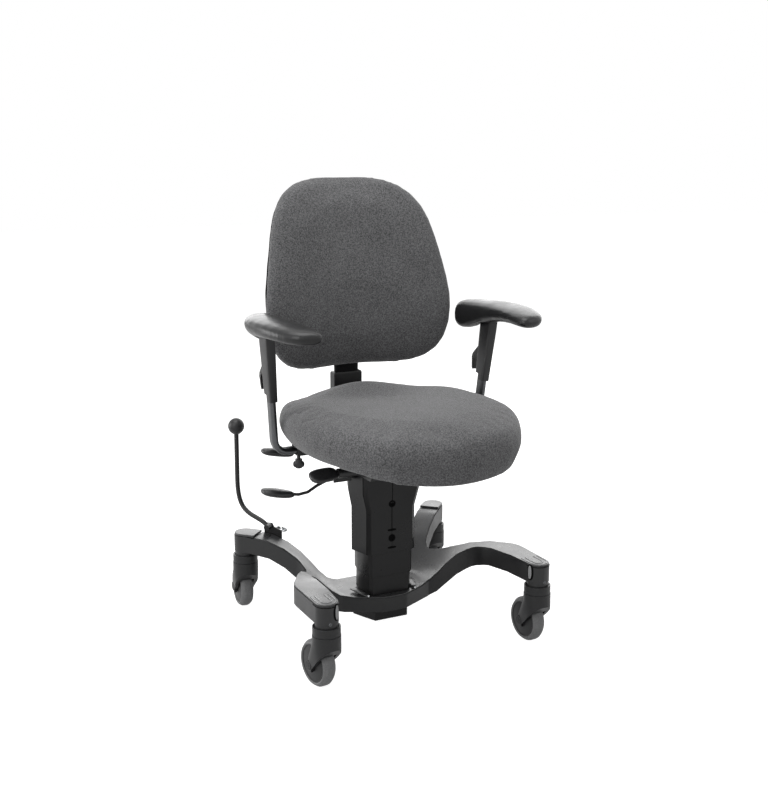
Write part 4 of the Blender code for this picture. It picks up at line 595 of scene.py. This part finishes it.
seat_mesh = even_copy("seat_cushion", 0.0060, 0.002)
full_seat(seat_mesh)
seat_mesh = swell(seat_mesh, lambda v: v.normal.z < -0.6, 0.8, 0.005)
finished_pad(seat_mesh, "seat_cushion", "seat_pad", CHARCOAL_WOOL, "seat")
print("seat pad", [round(size * 1000) for size in (SEAT_HIGH - SEAT_LOW)], "mm")

# %% [markdown]
# The back pad is glued and stapled to the curved back shell, so its rear face is pinned. Its
# foam fills the four corners of the outline a little more than the cage does, most of all the
# lower two, and it is tucked in at the lower sides.

# %% Back cushion
BACK_LOW, BACK_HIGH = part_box("back_cushion")
BACK_MIDDLE = (BACK_LOW + BACK_HIGH) / 2
BACK_RIM_REACH = 0.210       # from the middle to where the rim moves in full
BACK_CORNER_GROWTH = 0.0045
BACK_TOP_LESS = 0.0020
BACK_SIDE_TUCK = 0.0007
BACK_RIM_IN = 0.0003


def full_back(mesh):
    """Push the rim outward toward the corners, and tuck it in at the lower sides."""
    for vertex in mesh.vertices:
        across = vertex.co.x - BACK_MIDDLE.x
        rise = vertex.co.z - BACK_MIDDLE.z
        angle = atan2(rise, across)
        reach = smooth_step((across * across + rise * rise) ** 0.5 / BACK_RIM_REACH)
        corner_growth = (BACK_CORNER_GROWTH - BACK_TOP_LESS * sin(angle)) * sin(2 * angle) ** 2
        side_tuck = BACK_SIDE_TUCK * (1 - sin(angle)) * cos(angle) ** 2
        growth = (corner_growth - BACK_RIM_IN - side_tuck) * reach
        vertex.co.x += growth * cos(angle)
        vertex.co.z += growth * sin(angle)


back_mesh = even_copy("back_cushion", 0.0060, 0.002)
full_back(back_mesh)
back_mesh = swell(back_mesh, lambda v: v.normal.y > 0.6, 0.8, 0.005)
finished_pad(back_mesh, "back_cushion", "back_pad", CHARCOAL_WOOL, "backrest")
print("back pad", [round(size * 1000) for size in (BACK_HIGH - BACK_LOW)], "mm")

# %% [markdown]
# The arm pads come out of a mould, so they are not blown up: an even copy of the solid,
# relaxed and subdivided, has the soft shoulders that the highlights run along. Their front tips
# end a little further back than the cage.

# %% Arm pads
PAD_TIP_BACK = 0.006
PAD_TIP_START = -0.100
for side in ("left", "right"):
    pad_mesh = even_copy(f"{side}_arm_pad", 0.0035, -0.0012, 3)
    for vertex in pad_mesh.vertices:
        vertex.co.y += PAD_TIP_BACK * smooth_step((PAD_TIP_START - vertex.co.y) / 0.080)
    finished_pad(pad_mesh, f"{side}_arm_pad", f"{side}_arm_pad_skin", PAD_SKIN, f"{side}_arm_pad")
print("arm pads: 2")

# %% [markdown]
# The small parts are drawn the way a workshop makes them: strips bent along a path, turned
# parts, stacks of sections joined by a skin, and plates cut to an outline. Each builder fills a
# bmesh, and `small_part` gives the result its finish and the body it moves with.

# %% Builders for small parts


def turn_steps(steps):
    """The angles of a full turn in equal steps."""
    return [2 * pi * step / steps for step in range(steps)]


def skin_rings(shell, rings, closed_rows=False):
    """Join rings of points of the same count by a skin."""
    rows = [[shell.verts.new(point) for point in ring] for ring in rings]
    pairs = list(zip(rows, rows[1:]))
    if closed_rows:
        pairs.append((rows[-1], rows[0]))
    for first, second in pairs:
        for i in range(len(first)):
            j = (i + 1) % len(first)
            shell.faces.new((first[i], first[j], second[j], second[i]))
    if not closed_rows:
        shell.faces.new(rows[0][::-1])
        shell.faces.new(rows[-1])


def add_strip(shell, path, section, up=Vector((0, 0, 1))):
    """A section of (sideways, upward) points swept along a path."""
    rings = []
    for i, point in enumerate(path):
        before = path[max(0, i - 1)]
        after = path[min(len(path) - 1, i + 1)]
        along = (after - before).normalized()
        sideways = along.cross(up).normalized()
        upward = sideways.cross(along)
        rings.append([point + sideways * across + upward * rise for across, rise in section])
    skin_rings(shell, rings)


def add_turned(shell, profile, centre, axis, steps=32, closed=False):
    """A profile of (radius, height) points turned about an axis through the centre."""
    axis = Vector(axis).normalized()
    first = axis.orthogonal().normalized()
    second = axis.cross(first)
    rings = []
    for radius, height in profile:
        middle = Vector(centre) + axis * height
        radius = max(radius, 0.00005)
        rings.append([middle + (first * cos(angle) + second * sin(angle)) * radius
                      for angle in turn_steps(steps)])
    skin_rings(shell, rings, closed_rows=closed)


def add_plate(shell, outline, low, high):
    """An outline of (x, y) points as a plate between two heights."""
    skin_rings(shell, [[(x, y, z) for x, y in outline] for z in (low, high)])


def oval(half_length, half_width, squareness=2.0, steps=40):
    """A rounded outline; a squareness of 2 is an ellipse, more is fuller at the corners."""
    points = []
    for angle in turn_steps(steps):
        across, along = cos(angle), sin(angle)
        wide = abs(across) ** (2 / squareness) * (1 if across > 0 else -1)
        long = abs(along) ** (2 / squareness) * (1 if along > 0 else -1)
        points.append((half_width * wide, half_length * long))
    return points


def as_mesh(shell, name, place=Matrix.Identity(4)):
    bmesh.ops.recalc_face_normals(shell, faces=shell.faces)
    mesh = bpy.data.meshes.new(name)
    shell.to_mesh(mesh)
    shell.free()
    mesh.transform(place)
    return mesh


def small_part(shell, name, finish, body, edge=0.0004, place=Matrix.Identity(4)):
    part = as_piece(as_mesh(shell, name, place), name, finish, body)
    if edge:
        soften_edges(part, edge)
    return part


def middle_of(node):
    low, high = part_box(node)
    return (low + high) / 2


print("builders ready")

# %% [markdown]
# Under each collar sits the castor's housing, moulded in one piece: a round crown of the
# collar's own width that flows down into two blades, cut away for the wheel and cut aslant in
# front of it. The brake pin drops into a ring groove in the crown. Each station below is a
# section by its height over the axle. Stem, axle and the way each castor has swivelled are
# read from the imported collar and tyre.

# %% Castor housings
CORNERS = ("front_left", "front_right", "rear_left", "rear_right")
HOUSING_TOP = 0.0720
HOUSING_STATIONS = (
    # over the axle, front edge, rear edge, half width, squareness
    (HOUSING_TOP, -0.0295, 0.0295, 0.0295, 2.0),
    (0.0560, -0.0295, 0.0296, 0.0295, 2.0),
    (0.0500, -0.0295, 0.0310, 0.0294, 2.1),
    (0.0420, -0.0295, 0.0342, 0.0292, 2.2),
    (0.0330, -0.0295, 0.0380, 0.0288, 2.3),
    (0.0200, -0.0292, 0.0440, 0.0272, 2.6),
    (0.0060, -0.0285, 0.0492, 0.0245, 3.2),
    (-0.0060, -0.0200, 0.0492, 0.0235, 3.4),
    (-0.0105, -0.0060, 0.0462, 0.0235, 2.8),
    (-0.0135, 0.0160, 0.0410, 0.0233, 2.4),
)
WHEEL_ROOM_RADIUS = 0.0530
WHEEL_ROOM_HALF = 0.01725
FRONT_CUT = ((-0.0400, 0.0560), (-0.0160, 0.0330), (0.0020, 0.0140), (0.0230, -0.0070), (0.0246, -0.0400),
             (-0.0400, -0.0400))
PIN_GROOVE = (0.0117, 0.0183)
PIN_GROOVE_DEPTH = 0.0044
FRONT_CUT_HALF = 0.0400


def castor_place(corner):
    """Where the castor's own frame stands: its origin on the stem at axle height, trail along +Y."""
    stem = middle_of(f"{corner}_castor_collar")
    wheel = middle_of(f"{corner}_tyre")
    trail = wheel - stem
    turn = Matrix.Rotation(atan2(-trail.x, trail.y), 4, "Z")
    return Matrix.Translation((stem.x, stem.y, wheel.z)) @ turn, (trail.x ** 2 + trail.y ** 2) ** 0.5


def housing_mesh(name, trail):
    body = bmesh.new()
    rings = []
    for height, front, rear, half_width, squareness in HOUSING_STATIONS:
        middle = (front + rear) / 2
        rings.append([(x, y + middle, height) for x, y in oval((rear - front) / 2, half_width, squareness)])
    skin_rings(body, rings)
    room = bmesh.new()
    add_turned(room, [(WHEEL_ROOM_RADIUS, -WHEEL_ROOM_HALF), (WHEEL_ROOM_RADIUS, WHEEL_ROOM_HALF)],
               (0, trail, 0), (1, 0, 0), 64)
    wedge = bmesh.new()
    cut_sides = (-FRONT_CUT_HALF, FRONT_CUT_HALF)
    skin_rings(wedge, [[(x, y, height) for y, height in FRONT_CUT] for x in cut_sides])
    groove = bmesh.new()
    floor, mouth = HOUSING_TOP - PIN_GROOVE_DEPTH, HOUSING_TOP + 0.008
    add_turned(groove, [(PIN_GROOVE[0], floor), (PIN_GROOVE[1], floor), (PIN_GROOVE[1], mouth),
                        (PIN_GROOVE[0], mouth)], (0, 0, 0), (0, 0, 1), 48, closed=True)
    solid = into_scene(name, as_mesh(body, name))
    tools = [into_scene(name + "_tool", as_mesh(shell, name + "_tool"))
             for shell in (room, wedge, groove)]
    for tool in tools:
        add_modifier(solid, "cut_away", "BOOLEAN", operation="DIFFERENCE", solver="EXACT", object=tool)
    mesh = evaluated_mesh(solid)
    for part in (solid, *tools):
        bpy.data.objects.remove(part)
    return mesh


for corner in CORNERS:
    place, trail = castor_place(corner)
    mesh = housing_mesh(f"{corner}_housing", trail)
    mesh.transform(place)
    housing = as_piece(mesh, f"{corner}_housing", CASTOR_GREY, f"{corner}_castor")
    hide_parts(f"{corner}_castor_fork")
    soften_edges(housing, 0.0009)
print("castor housings:", len(CORNERS), "trail", round(trail * 1000, 1), "mm")

# %% [markdown]
# A round boss covers each end of the axle. A groove separates the wheel's hub from the tyre that
# was moulded onto it, and a thin black ring in it is painted shade.

# %% Axle bosses and hub grooves
# Painted shade: a thin black ring in the groove between hub and tyre.
HUB_GROOVE_SHADE = ((0.0366, -0.0008), (0.0386, -0.0008), (0.0386, 0.0004), (0.0366, 0.0004))
for corner in CORNERS:
    place, trail = castor_place(corner)
    bosses = bmesh.new()
    groove_shades = bmesh.new()
    for way in (-1, 1):
        face = Vector((way * 0.0235, trail, 0))
        add_turned(bosses, [(0.0104, -0.004), (0.0104, 0.0004), (0.0094, 0.0013), (0.0060, 0.0013),
                            (0.0054, 0.0007), (0, 0.0007)], face, (way, 0, 0))
        add_turned(groove_shades, HUB_GROOVE_SHADE, (way * 0.0130, trail, 0), (way, 0, 0), 48, closed=True)
    small_part(bosses, f"{corner}_axle_bosses", CASTOR_GREY,
               f"{corner}_castor", 0.0002, place)
    small_part(groove_shades, f"{corner}_hub_groove_shades", BLACK_PLASTIC,
               f"{corner}_wheel", 0, place)
print("bosses and grooves on", len(CORNERS), "castors")

# %% [markdown]
# The casting carries traces of its making on each front leg: two raised U ribs on the top over the
# castor, the joint under the cover's edge, an oval plug in a recess on the inner side of the post,
# and the small screw that holds the stem. The ribs and the plug are light grey as a painted
# highlight, and the joint and the recess get a black strip and a black oval of painted shade.

# %% Ribs, plugs and stem screws on the base
LEG_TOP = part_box("base_cover")[1].z
RIB_SECTION = [(-0.0012, -0.0004), (-0.0010, 0.0008), (0, 0.0012), (0.0010, 0.0008), (0.0012, -0.0004)]
POST_RADIUS = 0.0238
PLUG_RADIUS = 0.0249
PLUG_HEIGHT = 0.1735
PLUG_SIZE = (0.0150, 0.0046, 0.0016)
RECESS_SIZE = (0.0178, 0.0094, 0.0005)
JOINT_RADIUS = 0.0250
JOINT_DROP = 0.0052
JOINT_SECTION = [(-0.0006, -0.0007), (-0.0006, 0.0007), (0.0006, 0.0007), (0.0006, -0.0007)]
PLUG_FACING = {1: (-0.97, -0.23), -1: (0.55, -0.83)}
SCREW_HEIGHT = 0.1515
SLOTTED_SCREW = ((0.0036, -0.002), (0.0036, 0.0012), (0.0028, 0.0018), (0.0014, 0.0018),
                 (0.0012, 0.0008), (0, 0.0008))
PLAIN_SCREW = ((0.0036, -0.002), (0.0036, 0.0012), (0.0028, 0.0018), (0, 0.0018))


def u_path(stem, radius, tail, steps=16):
    """Round the front of the stem, with two straight tails toward the hub."""
    path = [Vector((stem.x - radius, stem.y + tail, LEG_TOP))]
    for step in range(steps + 1):
        angle = pi + pi * step / steps
        path.append(Vector((stem.x + radius * cos(angle), stem.y + radius * sin(angle), LEG_TOP)))
    path.append(Vector((stem.x + radius, stem.y + tail, LEG_TOP)))
    return path


def add_plug(shell, stem, facing, half_height, half_width, depth):
    """An upright oval that follows the round post; facing is its direction from the stem."""
    middle = atan2(facing[1], facing[0])
    rings = []
    for share, out in ((1.0, -0.001), (1.0, depth * 0.6), (0.86, depth), (0.5, depth), (0.15, depth)):
        ring = []
        for rise, across in oval(half_width * share, half_height * share, 2.3, 32):
            angle = middle + across / PLUG_RADIUS
            radius = PLUG_RADIUS + out
            ring.append((stem.x + radius * cos(angle), stem.y + radius * sin(angle), PLUG_HEIGHT + rise))
        rings.append(ring)
    skin_rings(shell, rings)


ribs = bmesh.new()
recess_shades = bmesh.new()
plugs = bmesh.new()
screws = bmesh.new()
joint_shadows = bmesh.new()
for side in (-1, 1):
    stem = middle_of("front_left_castor_collar" if side > 0 else "front_right_castor_collar")
    for radius in (0.0195, 0.0105):
        add_strip(ribs, u_path(stem, radius, 0.034), RIB_SECTION)
    # Painted shade: a black oval a little larger than the plug stands in for the shade of its recess.
    add_plug(recess_shades, stem, PLUG_FACING[side], *RECESS_SIZE)
    add_plug(plugs, stem, PLUG_FACING[side], *PLUG_SIZE)
    # Painted shadow: a black strip under the cover's edge stands in for the shadow in the gap between cover
    # and casting.
    joint_path = [point + Vector((0, 0, -JOINT_DROP)) for point in u_path(stem, JOINT_RADIUS, 0.010)]
    add_strip(joint_shadows, joint_path, JOINT_SECTION)
    add_turned(screws, SLOTTED_SCREW, (stem.x + side * 0.002, stem.y - POST_RADIUS, SCREW_HEIGHT),
               (0, -1, 0), 20)
for corner in ("rear_left", "rear_right"):
    stem = middle_of(f"{corner}_castor_collar")
    add_turned(screws, PLAIN_SCREW, (stem.x, stem.y + POST_RADIUS, SCREW_HEIGHT), (0, 1, 0), 20)
# The ribs and plugs get the painted highlight grey; the joint strips and the recess ovals are painted shade
# in black.
small_part(ribs, "leg_ribs", PAINTED_HIGHLIGHT_GREY, "base", 0)
small_part(recess_shades, "plug_recess_shades", DEEP_BLACK, "base", 0)
small_part(joint_shadows, "leg_top_joint_shadows", DEEP_BLACK, "base", 0)
small_part(plugs, "leg_plugs", PAINTED_HIGHLIGHT_GREY, "base", 0)
small_part(screws, "stem_screws", TUBE_STEEL, "base", 0.0003)
print("ribs 4, plugs 2, stem screws 4; leg top at", round(LEG_TOP, 3), "m")

# %% [markdown]
# Two tongues of the base cover reach forward beside the column, each held by a bright rivet, and
# a closed skirt goes round the column's foot below the hub.

# %% Cover tongues, rivets and the foot's skirt
FOOT_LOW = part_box("column_lower")[0]
FOOT_MIDDLE_Y = 0.04775
FOOT_HALF = (
    # half width of the foot, and the distance behind its middle
    (0.0404, -0.0625), (0.0536, -0.0322), (0.0666, 0.0), (0.0536, 0.0224), (0.0465, 0.0364),
)
SKIRT_RAISE = 0.0012
SKIRT_HEIGHT = 0.0240
skirt = bmesh.new()
foot_plan = [(x, y + FOOT_MIDDLE_Y) for x, y in FOOT_HALF]
foot_plan += [(-x, y) for x, y in reversed(foot_plan)]
add_plate(skirt, foot_plan, FOOT_LOW.z + SKIRT_RAISE, FOOT_LOW.z + SKIRT_HEIGHT)
small_part(skirt, "foot_skirt", COLUMN_BLACK, "base", 0.0010)

TONGUE_ROOT = (0.0648, 0.0348, 0.0962)
TONGUE_END = (0.0587, -0.0175, 0.0935)
TONGUE_TIP = 0.0036
TONGUE_HALF_WIDTHS = (0.0096, 0.0090, 0.0078, 0.0062, TONGUE_TIP)
TONGUE_HALF_DEPTH = 0.0024
RIVET = ((0.0024, -0.002), (0.0024, 0.0006), (0.0017, 0.0016), (0, 0.0019))
tongues = bmesh.new()
rivets = bmesh.new()
for side in (-1, 1):
    root = Vector((side * TONGUE_ROOT[0], *TONGUE_ROOT[1:]))
    tip = Vector((side * TONGUE_END[0], *TONGUE_END[1:]))
    path = [root.lerp(tip, share) for share in (0, 0.25, 0.5, 0.75, 1.0)]
    rings = []
    for point, half in zip(path, TONGUE_HALF_WIDTHS):
        middle = point.x + side * (half - TONGUE_TIP)
        rings.append([(middle + half * cos(angle), point.y, point.z + TONGUE_HALF_DEPTH * sin(angle))
                      for angle in turn_steps(16)])
    skin_rings(tongues, rings)
    add_turned(rivets, RIVET, tip + Vector((0, -0.0005, 0.0006)), (0, -0.9, 0.45), 16)
small_part(tongues, "cover_tongues", COVER_GREY, "base", 0)
small_part(rivets, "cover_rivets", BRIGHT_STEEL, "base", 0)
print("tongues and rivets: 2, skirt height", round((SKIRT_HEIGHT - SKIRT_RAISE) * 1000), "mm")

# %% [markdown]
# The front of the upper column tube carries a seam with two round plugs and two short bars, and a
# groove runs down each front corner. Plugs and bars are black; the seam and the grooves are black
# strips of painted shade. They all stand up to about a millimetre and a half proud, as pressed-in
# trim does.

# %% Seam, plugs and corner grooves of the column
UPPER_LOW, UPPER_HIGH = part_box("column_upper")
FRONT_Y = -0.01725
FLARE_START = 0.290
FLARE_END = 0.330
FLARE = 0.010
SHADE_STRIP_SECTION = [(-0.0007, -0.0004), (-0.0007, 0.0003), (0.0007, 0.0003), (0.0007, -0.0004)]


def flared_path(x, y, forward, low):
    """Up the tube, following the flare under the seat."""
    way = 0 if x == 0 else (1 if x > 0 else -1)
    return [Vector((x, y, low)), Vector((x, y, FLARE_START)),
            Vector((x + way * FLARE, y - forward, FLARE_END)),
            Vector((x + way * FLARE, y - forward, UPPER_HIGH.z - 0.001))]


# Painted shade: the seam and the corner grooves are black strips standing a little proud of the tube.
column_shade_strips = bmesh.new()
add_strip(column_shade_strips, flared_path(0, FRONT_Y, FLARE * 0.3, 0.2400), SHADE_STRIP_SECTION, Vector((0, -1, 0)))
for side in (-1, 1):
    outward = Vector((side, -0.27, 0)).normalized()
    add_strip(column_shade_strips, flared_path(side * 0.0594, FRONT_Y + 0.0068, FLARE * 0.3, UPPER_LOW.z + 0.001),
              SHADE_STRIP_SECTION, outward)
small_part(column_shade_strips, "column_groove_shades", DEEP_BLACK, "seat_mount", 0)

PLUG_HEIGHTS = (0.3015, 0.2215)
BAR_HEIGHTS = (0.2405, 0.1995)
PLUG_PROFILE = ((0.0085, -0.001), (0.0085, 0.0006), (0.0070, 0.0014), (0.0046, 0.0014),
                (0.0040, 0.0004), (0, 0.0004))
marks = bmesh.new()
for height in PLUG_HEIGHTS:
    proud = -FLARE * 0.3 * smooth_step((height - FLARE_START) / (FLARE_END - FLARE_START))
    add_turned(marks, PLUG_PROFILE, (0, FRONT_Y + proud, height), (0, -1, 0), 28)
for height in BAR_HEIGHTS:
    rings = []
    for share, out in ((1.0, -0.001), (1.0, 0.0006), (0.85, 0.0012)):
        rings.append([(x * share, FRONT_Y - out, height + z * share)
                      for x, z in oval(0.0024, 0.0105, 3.0, 28)])
    skin_rings(marks, rings)
small_part(marks, "column_plugs", DEEP_BLACK, "seat_mount", 0.0002)
print("column trim ready")

# %% [markdown]
# Each lever is a bent round rod with a pivot barrel at its root and a moulded grip pushed over
# its end. The grips are soft, oval forms that a hand finds without looking.

# %% Levers


def add_grip(shell, centre, size, turn, fullness=3.0, taper=0.0, stations=17):
    """A pebble with its long axis along X; taper narrows the end toward +X."""
    rings = []
    for station in range(stations):
        along = -cos(pi * station / (stations - 1))
        share = max(0.04, (1 - abs(along) ** fullness) ** (1 / fullness))
        narrow = 1 - taper * smooth_step((along + 0.2) / 1.2)
        ring = []
        for y, z in oval(size[2] / 2 * share, size[1] / 2 * share * narrow, 2.3, 24):
            ring.append(Vector(centre) + turn @ Vector((along * size[0] / 2, y, z)))
        rings.append(ring)
    skin_rings(shell, rings)


ROD_RADIUS = 0.0035
ROD_SECTION = [(ROD_RADIUS * cos(angle), ROD_RADIUS * sin(angle)) for angle in turn_steps(12)]
BENT_LEVERS = (
    # lever, pivot, route of the rod as (outward, sag)
    ("height_lever", (-0.1180, 0.02475, 0.3660),
     ((0, 0), (0.020, 0.0035), (0.045, 0.013), (0.066, 0.0245), (0.088, 0.027), (0.110, 0.023))),
    ("back_lever", (-0.1560, 0.11275, 0.4270),
     ((0, 0), (0.018, 0.008), (0.036, 0.0155), (0.060, 0.0135))),
)
GRIPS = (
    # lever, centre, length by width by thickness, tilt about Y, tilt about X, narrowing
    ("back_lever", (-0.2185, 0.1128, 0.4140), (0.0760, 0.0340, 0.0180), 11, 0, 0.05),
    ("height_lever", (-0.2530, 0.0248, 0.3485), (0.0760, 0.0430, 0.0180), 13, 0, 0.45),
    ("tilt_lever", (-0.1720, -0.0353, 0.3930), (0.0640, 0.0420, 0.0160), -4, 24, 0.0),
)
TILT_ROD_START = (-0.068, -0.03525, 0.393)
TILT_ROD = ((0.0065, 0.0), (0.0065, 0.016), (0.0105, 0.016), (0.0105, 0.072), (0.0065, 0.072),
            (0.0065, 0.082))
LEVER_BARREL = ((0.0020, -0.0101), (0.0020, -0.0063), (0.0060, -0.0063), (0.0060, 0.0063),
                (0.0020, 0.0063), (0.0020, 0.0101))
rods = {}
for lever, pivot, route in BENT_LEVERS:
    rods[lever] = bmesh.new()
    add_strip(rods[lever], [Vector(pivot) - Vector((out, 0, sag)) for out, sag in route], ROD_SECTION)
    add_turned(rods[lever], LEVER_BARREL, pivot, (0, 1, 0), 20)
rods["tilt_lever"] = bmesh.new()
add_turned(rods["tilt_lever"], TILT_ROD, TILT_ROD_START, (-1, 0, 0), 24)
for lever, centre, size, tilt_y, tilt_x, narrowing in GRIPS:
    rod = small_part(rods[lever], f"{lever}_rod", BLACK_STEEL, lever, 0.0003)
    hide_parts(lever)
    grip = bmesh.new()
    turn = Matrix.Rotation(radians(tilt_y), 3, "Y") @ Matrix.Rotation(radians(tilt_x), 3, "X")
    add_grip(grip, centre, size, turn, taper=narrowing)
    small_part(grip, f"{lever}_grip", SLEEVE_GREY, lever, 0)
print("levers:", len(GRIPS))

# %% [markdown]
# The arm tubes are clamped from below by a winged knob. The wing is a thick, rounded bar on a
# turned neck, and it stands at the angle at which the last user left it.

# %% Clamp knobs
KNOB_SIZE = (0.0250, 0.0115, 0.0158)
KNOB_RAISE = 0.0082
KNOB_TURN = 27
NECK = ((0.0040, 0.0035), (0.0078, 0.0035), (0.0078, -0.0060), (0.0068, -0.0100), (0.0068, -0.0170))
for side in ("left", "right"):
    screw_low, screw_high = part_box(f"{side}_arm_clamp_screw")
    centre = (screw_low + screw_high) / 2
    knob = bmesh.new()
    add_turned(knob, [(NECK[0][0], screw_high.z - centre.z), *NECK], centre, (0, 0, 1), 24)
    turn = Matrix.Rotation(radians(-KNOB_TURN if side == "right" else KNOB_TURN), 3, "Z")
    add_grip(knob, (centre.x, centre.y, screw_low.z + KNOB_RAISE), KNOB_SIZE, turn, 3.0)
    piece = small_part(knob, f"{side}_clamp_knob", SLEEVE_GREY,
                       f"{side}_arm_clamp_screw", 0.0004)
    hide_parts(f"{side}_arm_clamp_screw")
print("clamp knobs: 2")

# %% [markdown]
# A steel plate on the rear right leg carries the hand brake's pivot. It is cut down toward the
# hub, where its wing screw sits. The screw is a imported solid, and gets two wings here.

# %% Plate and wing screw of the hand brake
ALONG = Vector((1, -1, 0)).normalized()
OUTWARD = Vector((1, 1, 0)).normalized()
PLATE_THICKNESS = 0.0040
PLATE_OUTLINE = ((-0.0220, 0.1580), (0.0220, 0.1580), (0.0220, 0.1960), (0.0160, 0.1985), (0.0020, 0.2040),
                 (-0.0020, 0.2125), (-0.0180, 0.2125), (-0.0220, 0.2080))
bracket_middle = middle_of("brake_bracket")
plate = bmesh.new()
plate_faces = []
for side in (-1, 1):
    face_shift = OUTWARD * side * PLATE_THICKNESS / 2
    plate_faces.append([Vector((bracket_middle.x, bracket_middle.y, z)) + ALONG * along + face_shift
                        for along, z in PLATE_OUTLINE])
skin_rings(plate, plate_faces)
plate_piece = small_part(plate, "brake_plate", BLACK_STEEL, "base", 0.0006)
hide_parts("brake_bracket")

wing_low, wing_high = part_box("brake_wing_screw")
WING_OUT = 0.0070
WING_RAISE = 0.0035
WING_APART = 0.0080          # each wing's middle from the screw
WING_TURN = 32
WING_SIZE = (0.0150, 0.0032, 0.0100)
wing_middle = (wing_low + wing_high) / 2 + OUTWARD * WING_OUT
wings = bmesh.new()
for way in (-1, 1):
    turn = Matrix.Rotation(radians(-45), 3, "Z") @ Matrix.Rotation(radians(way * WING_TURN), 3, "Y")
    centre = wing_middle + ALONG * way * WING_APART + Vector((0, 0, WING_RAISE))
    add_grip(wings, centre, WING_SIZE, turn)
small_part(wings, "brake_screw_wings", BRIGHT_STEEL, "brake_wing_screw", 0)
print("brake plate and wings ready")

# %% [markdown]
# The chair stands on a white floor in soft light from above and from the left. Large area
# lamps keep the highlights broad. The largest stands behind the chair, low enough to be mirrored
# by every top that the camera sees at a flat angle, and a low one at the left brightens the sides
# of the legs. What the camera and reflections see of the world is plain white, while its light on
# the chair is lower, so that the forms keep their shading. The floor adds light of its own, most
# for the camera and some for reflections, which leaves a faint shadow.

# %% World, floor and lamps
world = bpy.data.worlds.new("white_studio")
bpy.context.scene.world = world
world.use_nodes = True
sky = world.node_tree
background = sky.nodes["Background"]
seen = sky.nodes.new("ShaderNodeLightPath")
shown = calculate(sky, "MAXIMUM", seen.outputs["Is Camera Ray"], seen.outputs["Is Glossy Ray"])
shown = calculate(sky, "MAXIMUM", shown, seen.outputs["Is Transmission Ray"])
background.inputs["Color"].default_value = (1, 1, 1, 1)
feed(sky, fit_range(sky, shown, 0, 1, 0.30, 1.0), background.inputs["Strength"])

FLOOR_REACH = 14.0
floor_mesh = bpy.data.meshes.new("floor")
corners = [(x * FLOOR_REACH, y * FLOOR_REACH, 0) for x, y in ((-1, -1), (1, -1), (1, 1), (-1, 1))]
floor_mesh.from_pydata(corners, [], [(0, 1, 2, 3)])
floor = into_scene("floor", floor_mesh)
floor_paint, paint, paint_shader = new_finish("floor_paint")
paint_shader.inputs["Base Color"].default_value = (0.58, 0.58, 0.58, 1)
paint_shader.inputs["Roughness"].default_value = 0.9
paint_shader.inputs["Specular IOR Level"].default_value = 0.0
paint_shader.inputs["Emission Color"].default_value = (1, 1, 1, 1)
floor_seen = paint.nodes.new("ShaderNodeLightPath")
for_camera = calculate(paint, "MULTIPLY", floor_seen.outputs["Is Camera Ray"], 0.90)
for_mirrors = calculate(paint, "MULTIPLY", floor_seen.outputs["Is Glossy Ray"], 0.34)
feed(paint, calculate(paint, "MAXIMUM", for_camera, for_mirrors), paint_shader.inputs["Emission Strength"])
floor_mesh.materials.append(floor_paint)
floor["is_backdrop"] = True


def add_lamp(name, place, target, size, power):
    data = bpy.data.lights.new(name, "AREA")
    data.shape = "RECTANGLE"
    data.size, data.size_y = size
    data.energy = power
    lamp = into_scene(name, data)
    lamp.location = place
    lamp.rotation_euler = (Vector(target) - Vector(place)).to_track_quat("-Z", "Y").to_euler()
    lamp.visible_camera = False


add_lamp("overhead_softbox", (-0.3, -0.2, 3.2), (0, 0, 0.5), (2.4, 2.4), 62)
add_lamp("left_softbox", (-2.8, -1.4, 1.8), (0, 0, 0.6), (1.6, 2.2), 30)
add_lamp("right_softbox", (2.6, -2.2, 1.6), (0, 0, 0.5), (1.4, 2.0), 8)
add_lamp("rear_softbox", (1.6, 3.2, 1.65), (0, 0, 0.5), (4.4, 2.4), 66)
add_lamp("low_left_softbox", (-2.6, 1.6, 0.8), (0, 0, 0.25), (1.8, 1.6), 34)
print("lamps: 5")

# %% [markdown]
# Last, the dressed chair is measured against the solids. Upholstery may stand a little proud
# of its foam, and nothing else should have grown.

# %% Check the size
seen_low, seen_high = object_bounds()
sizes = zip(seen_high - seen_low, CAD_HIGH - CAD_LOW)
print("grown by", [round((dressed - solid) * 1000, 1) for dressed, solid in sizes], "mm")
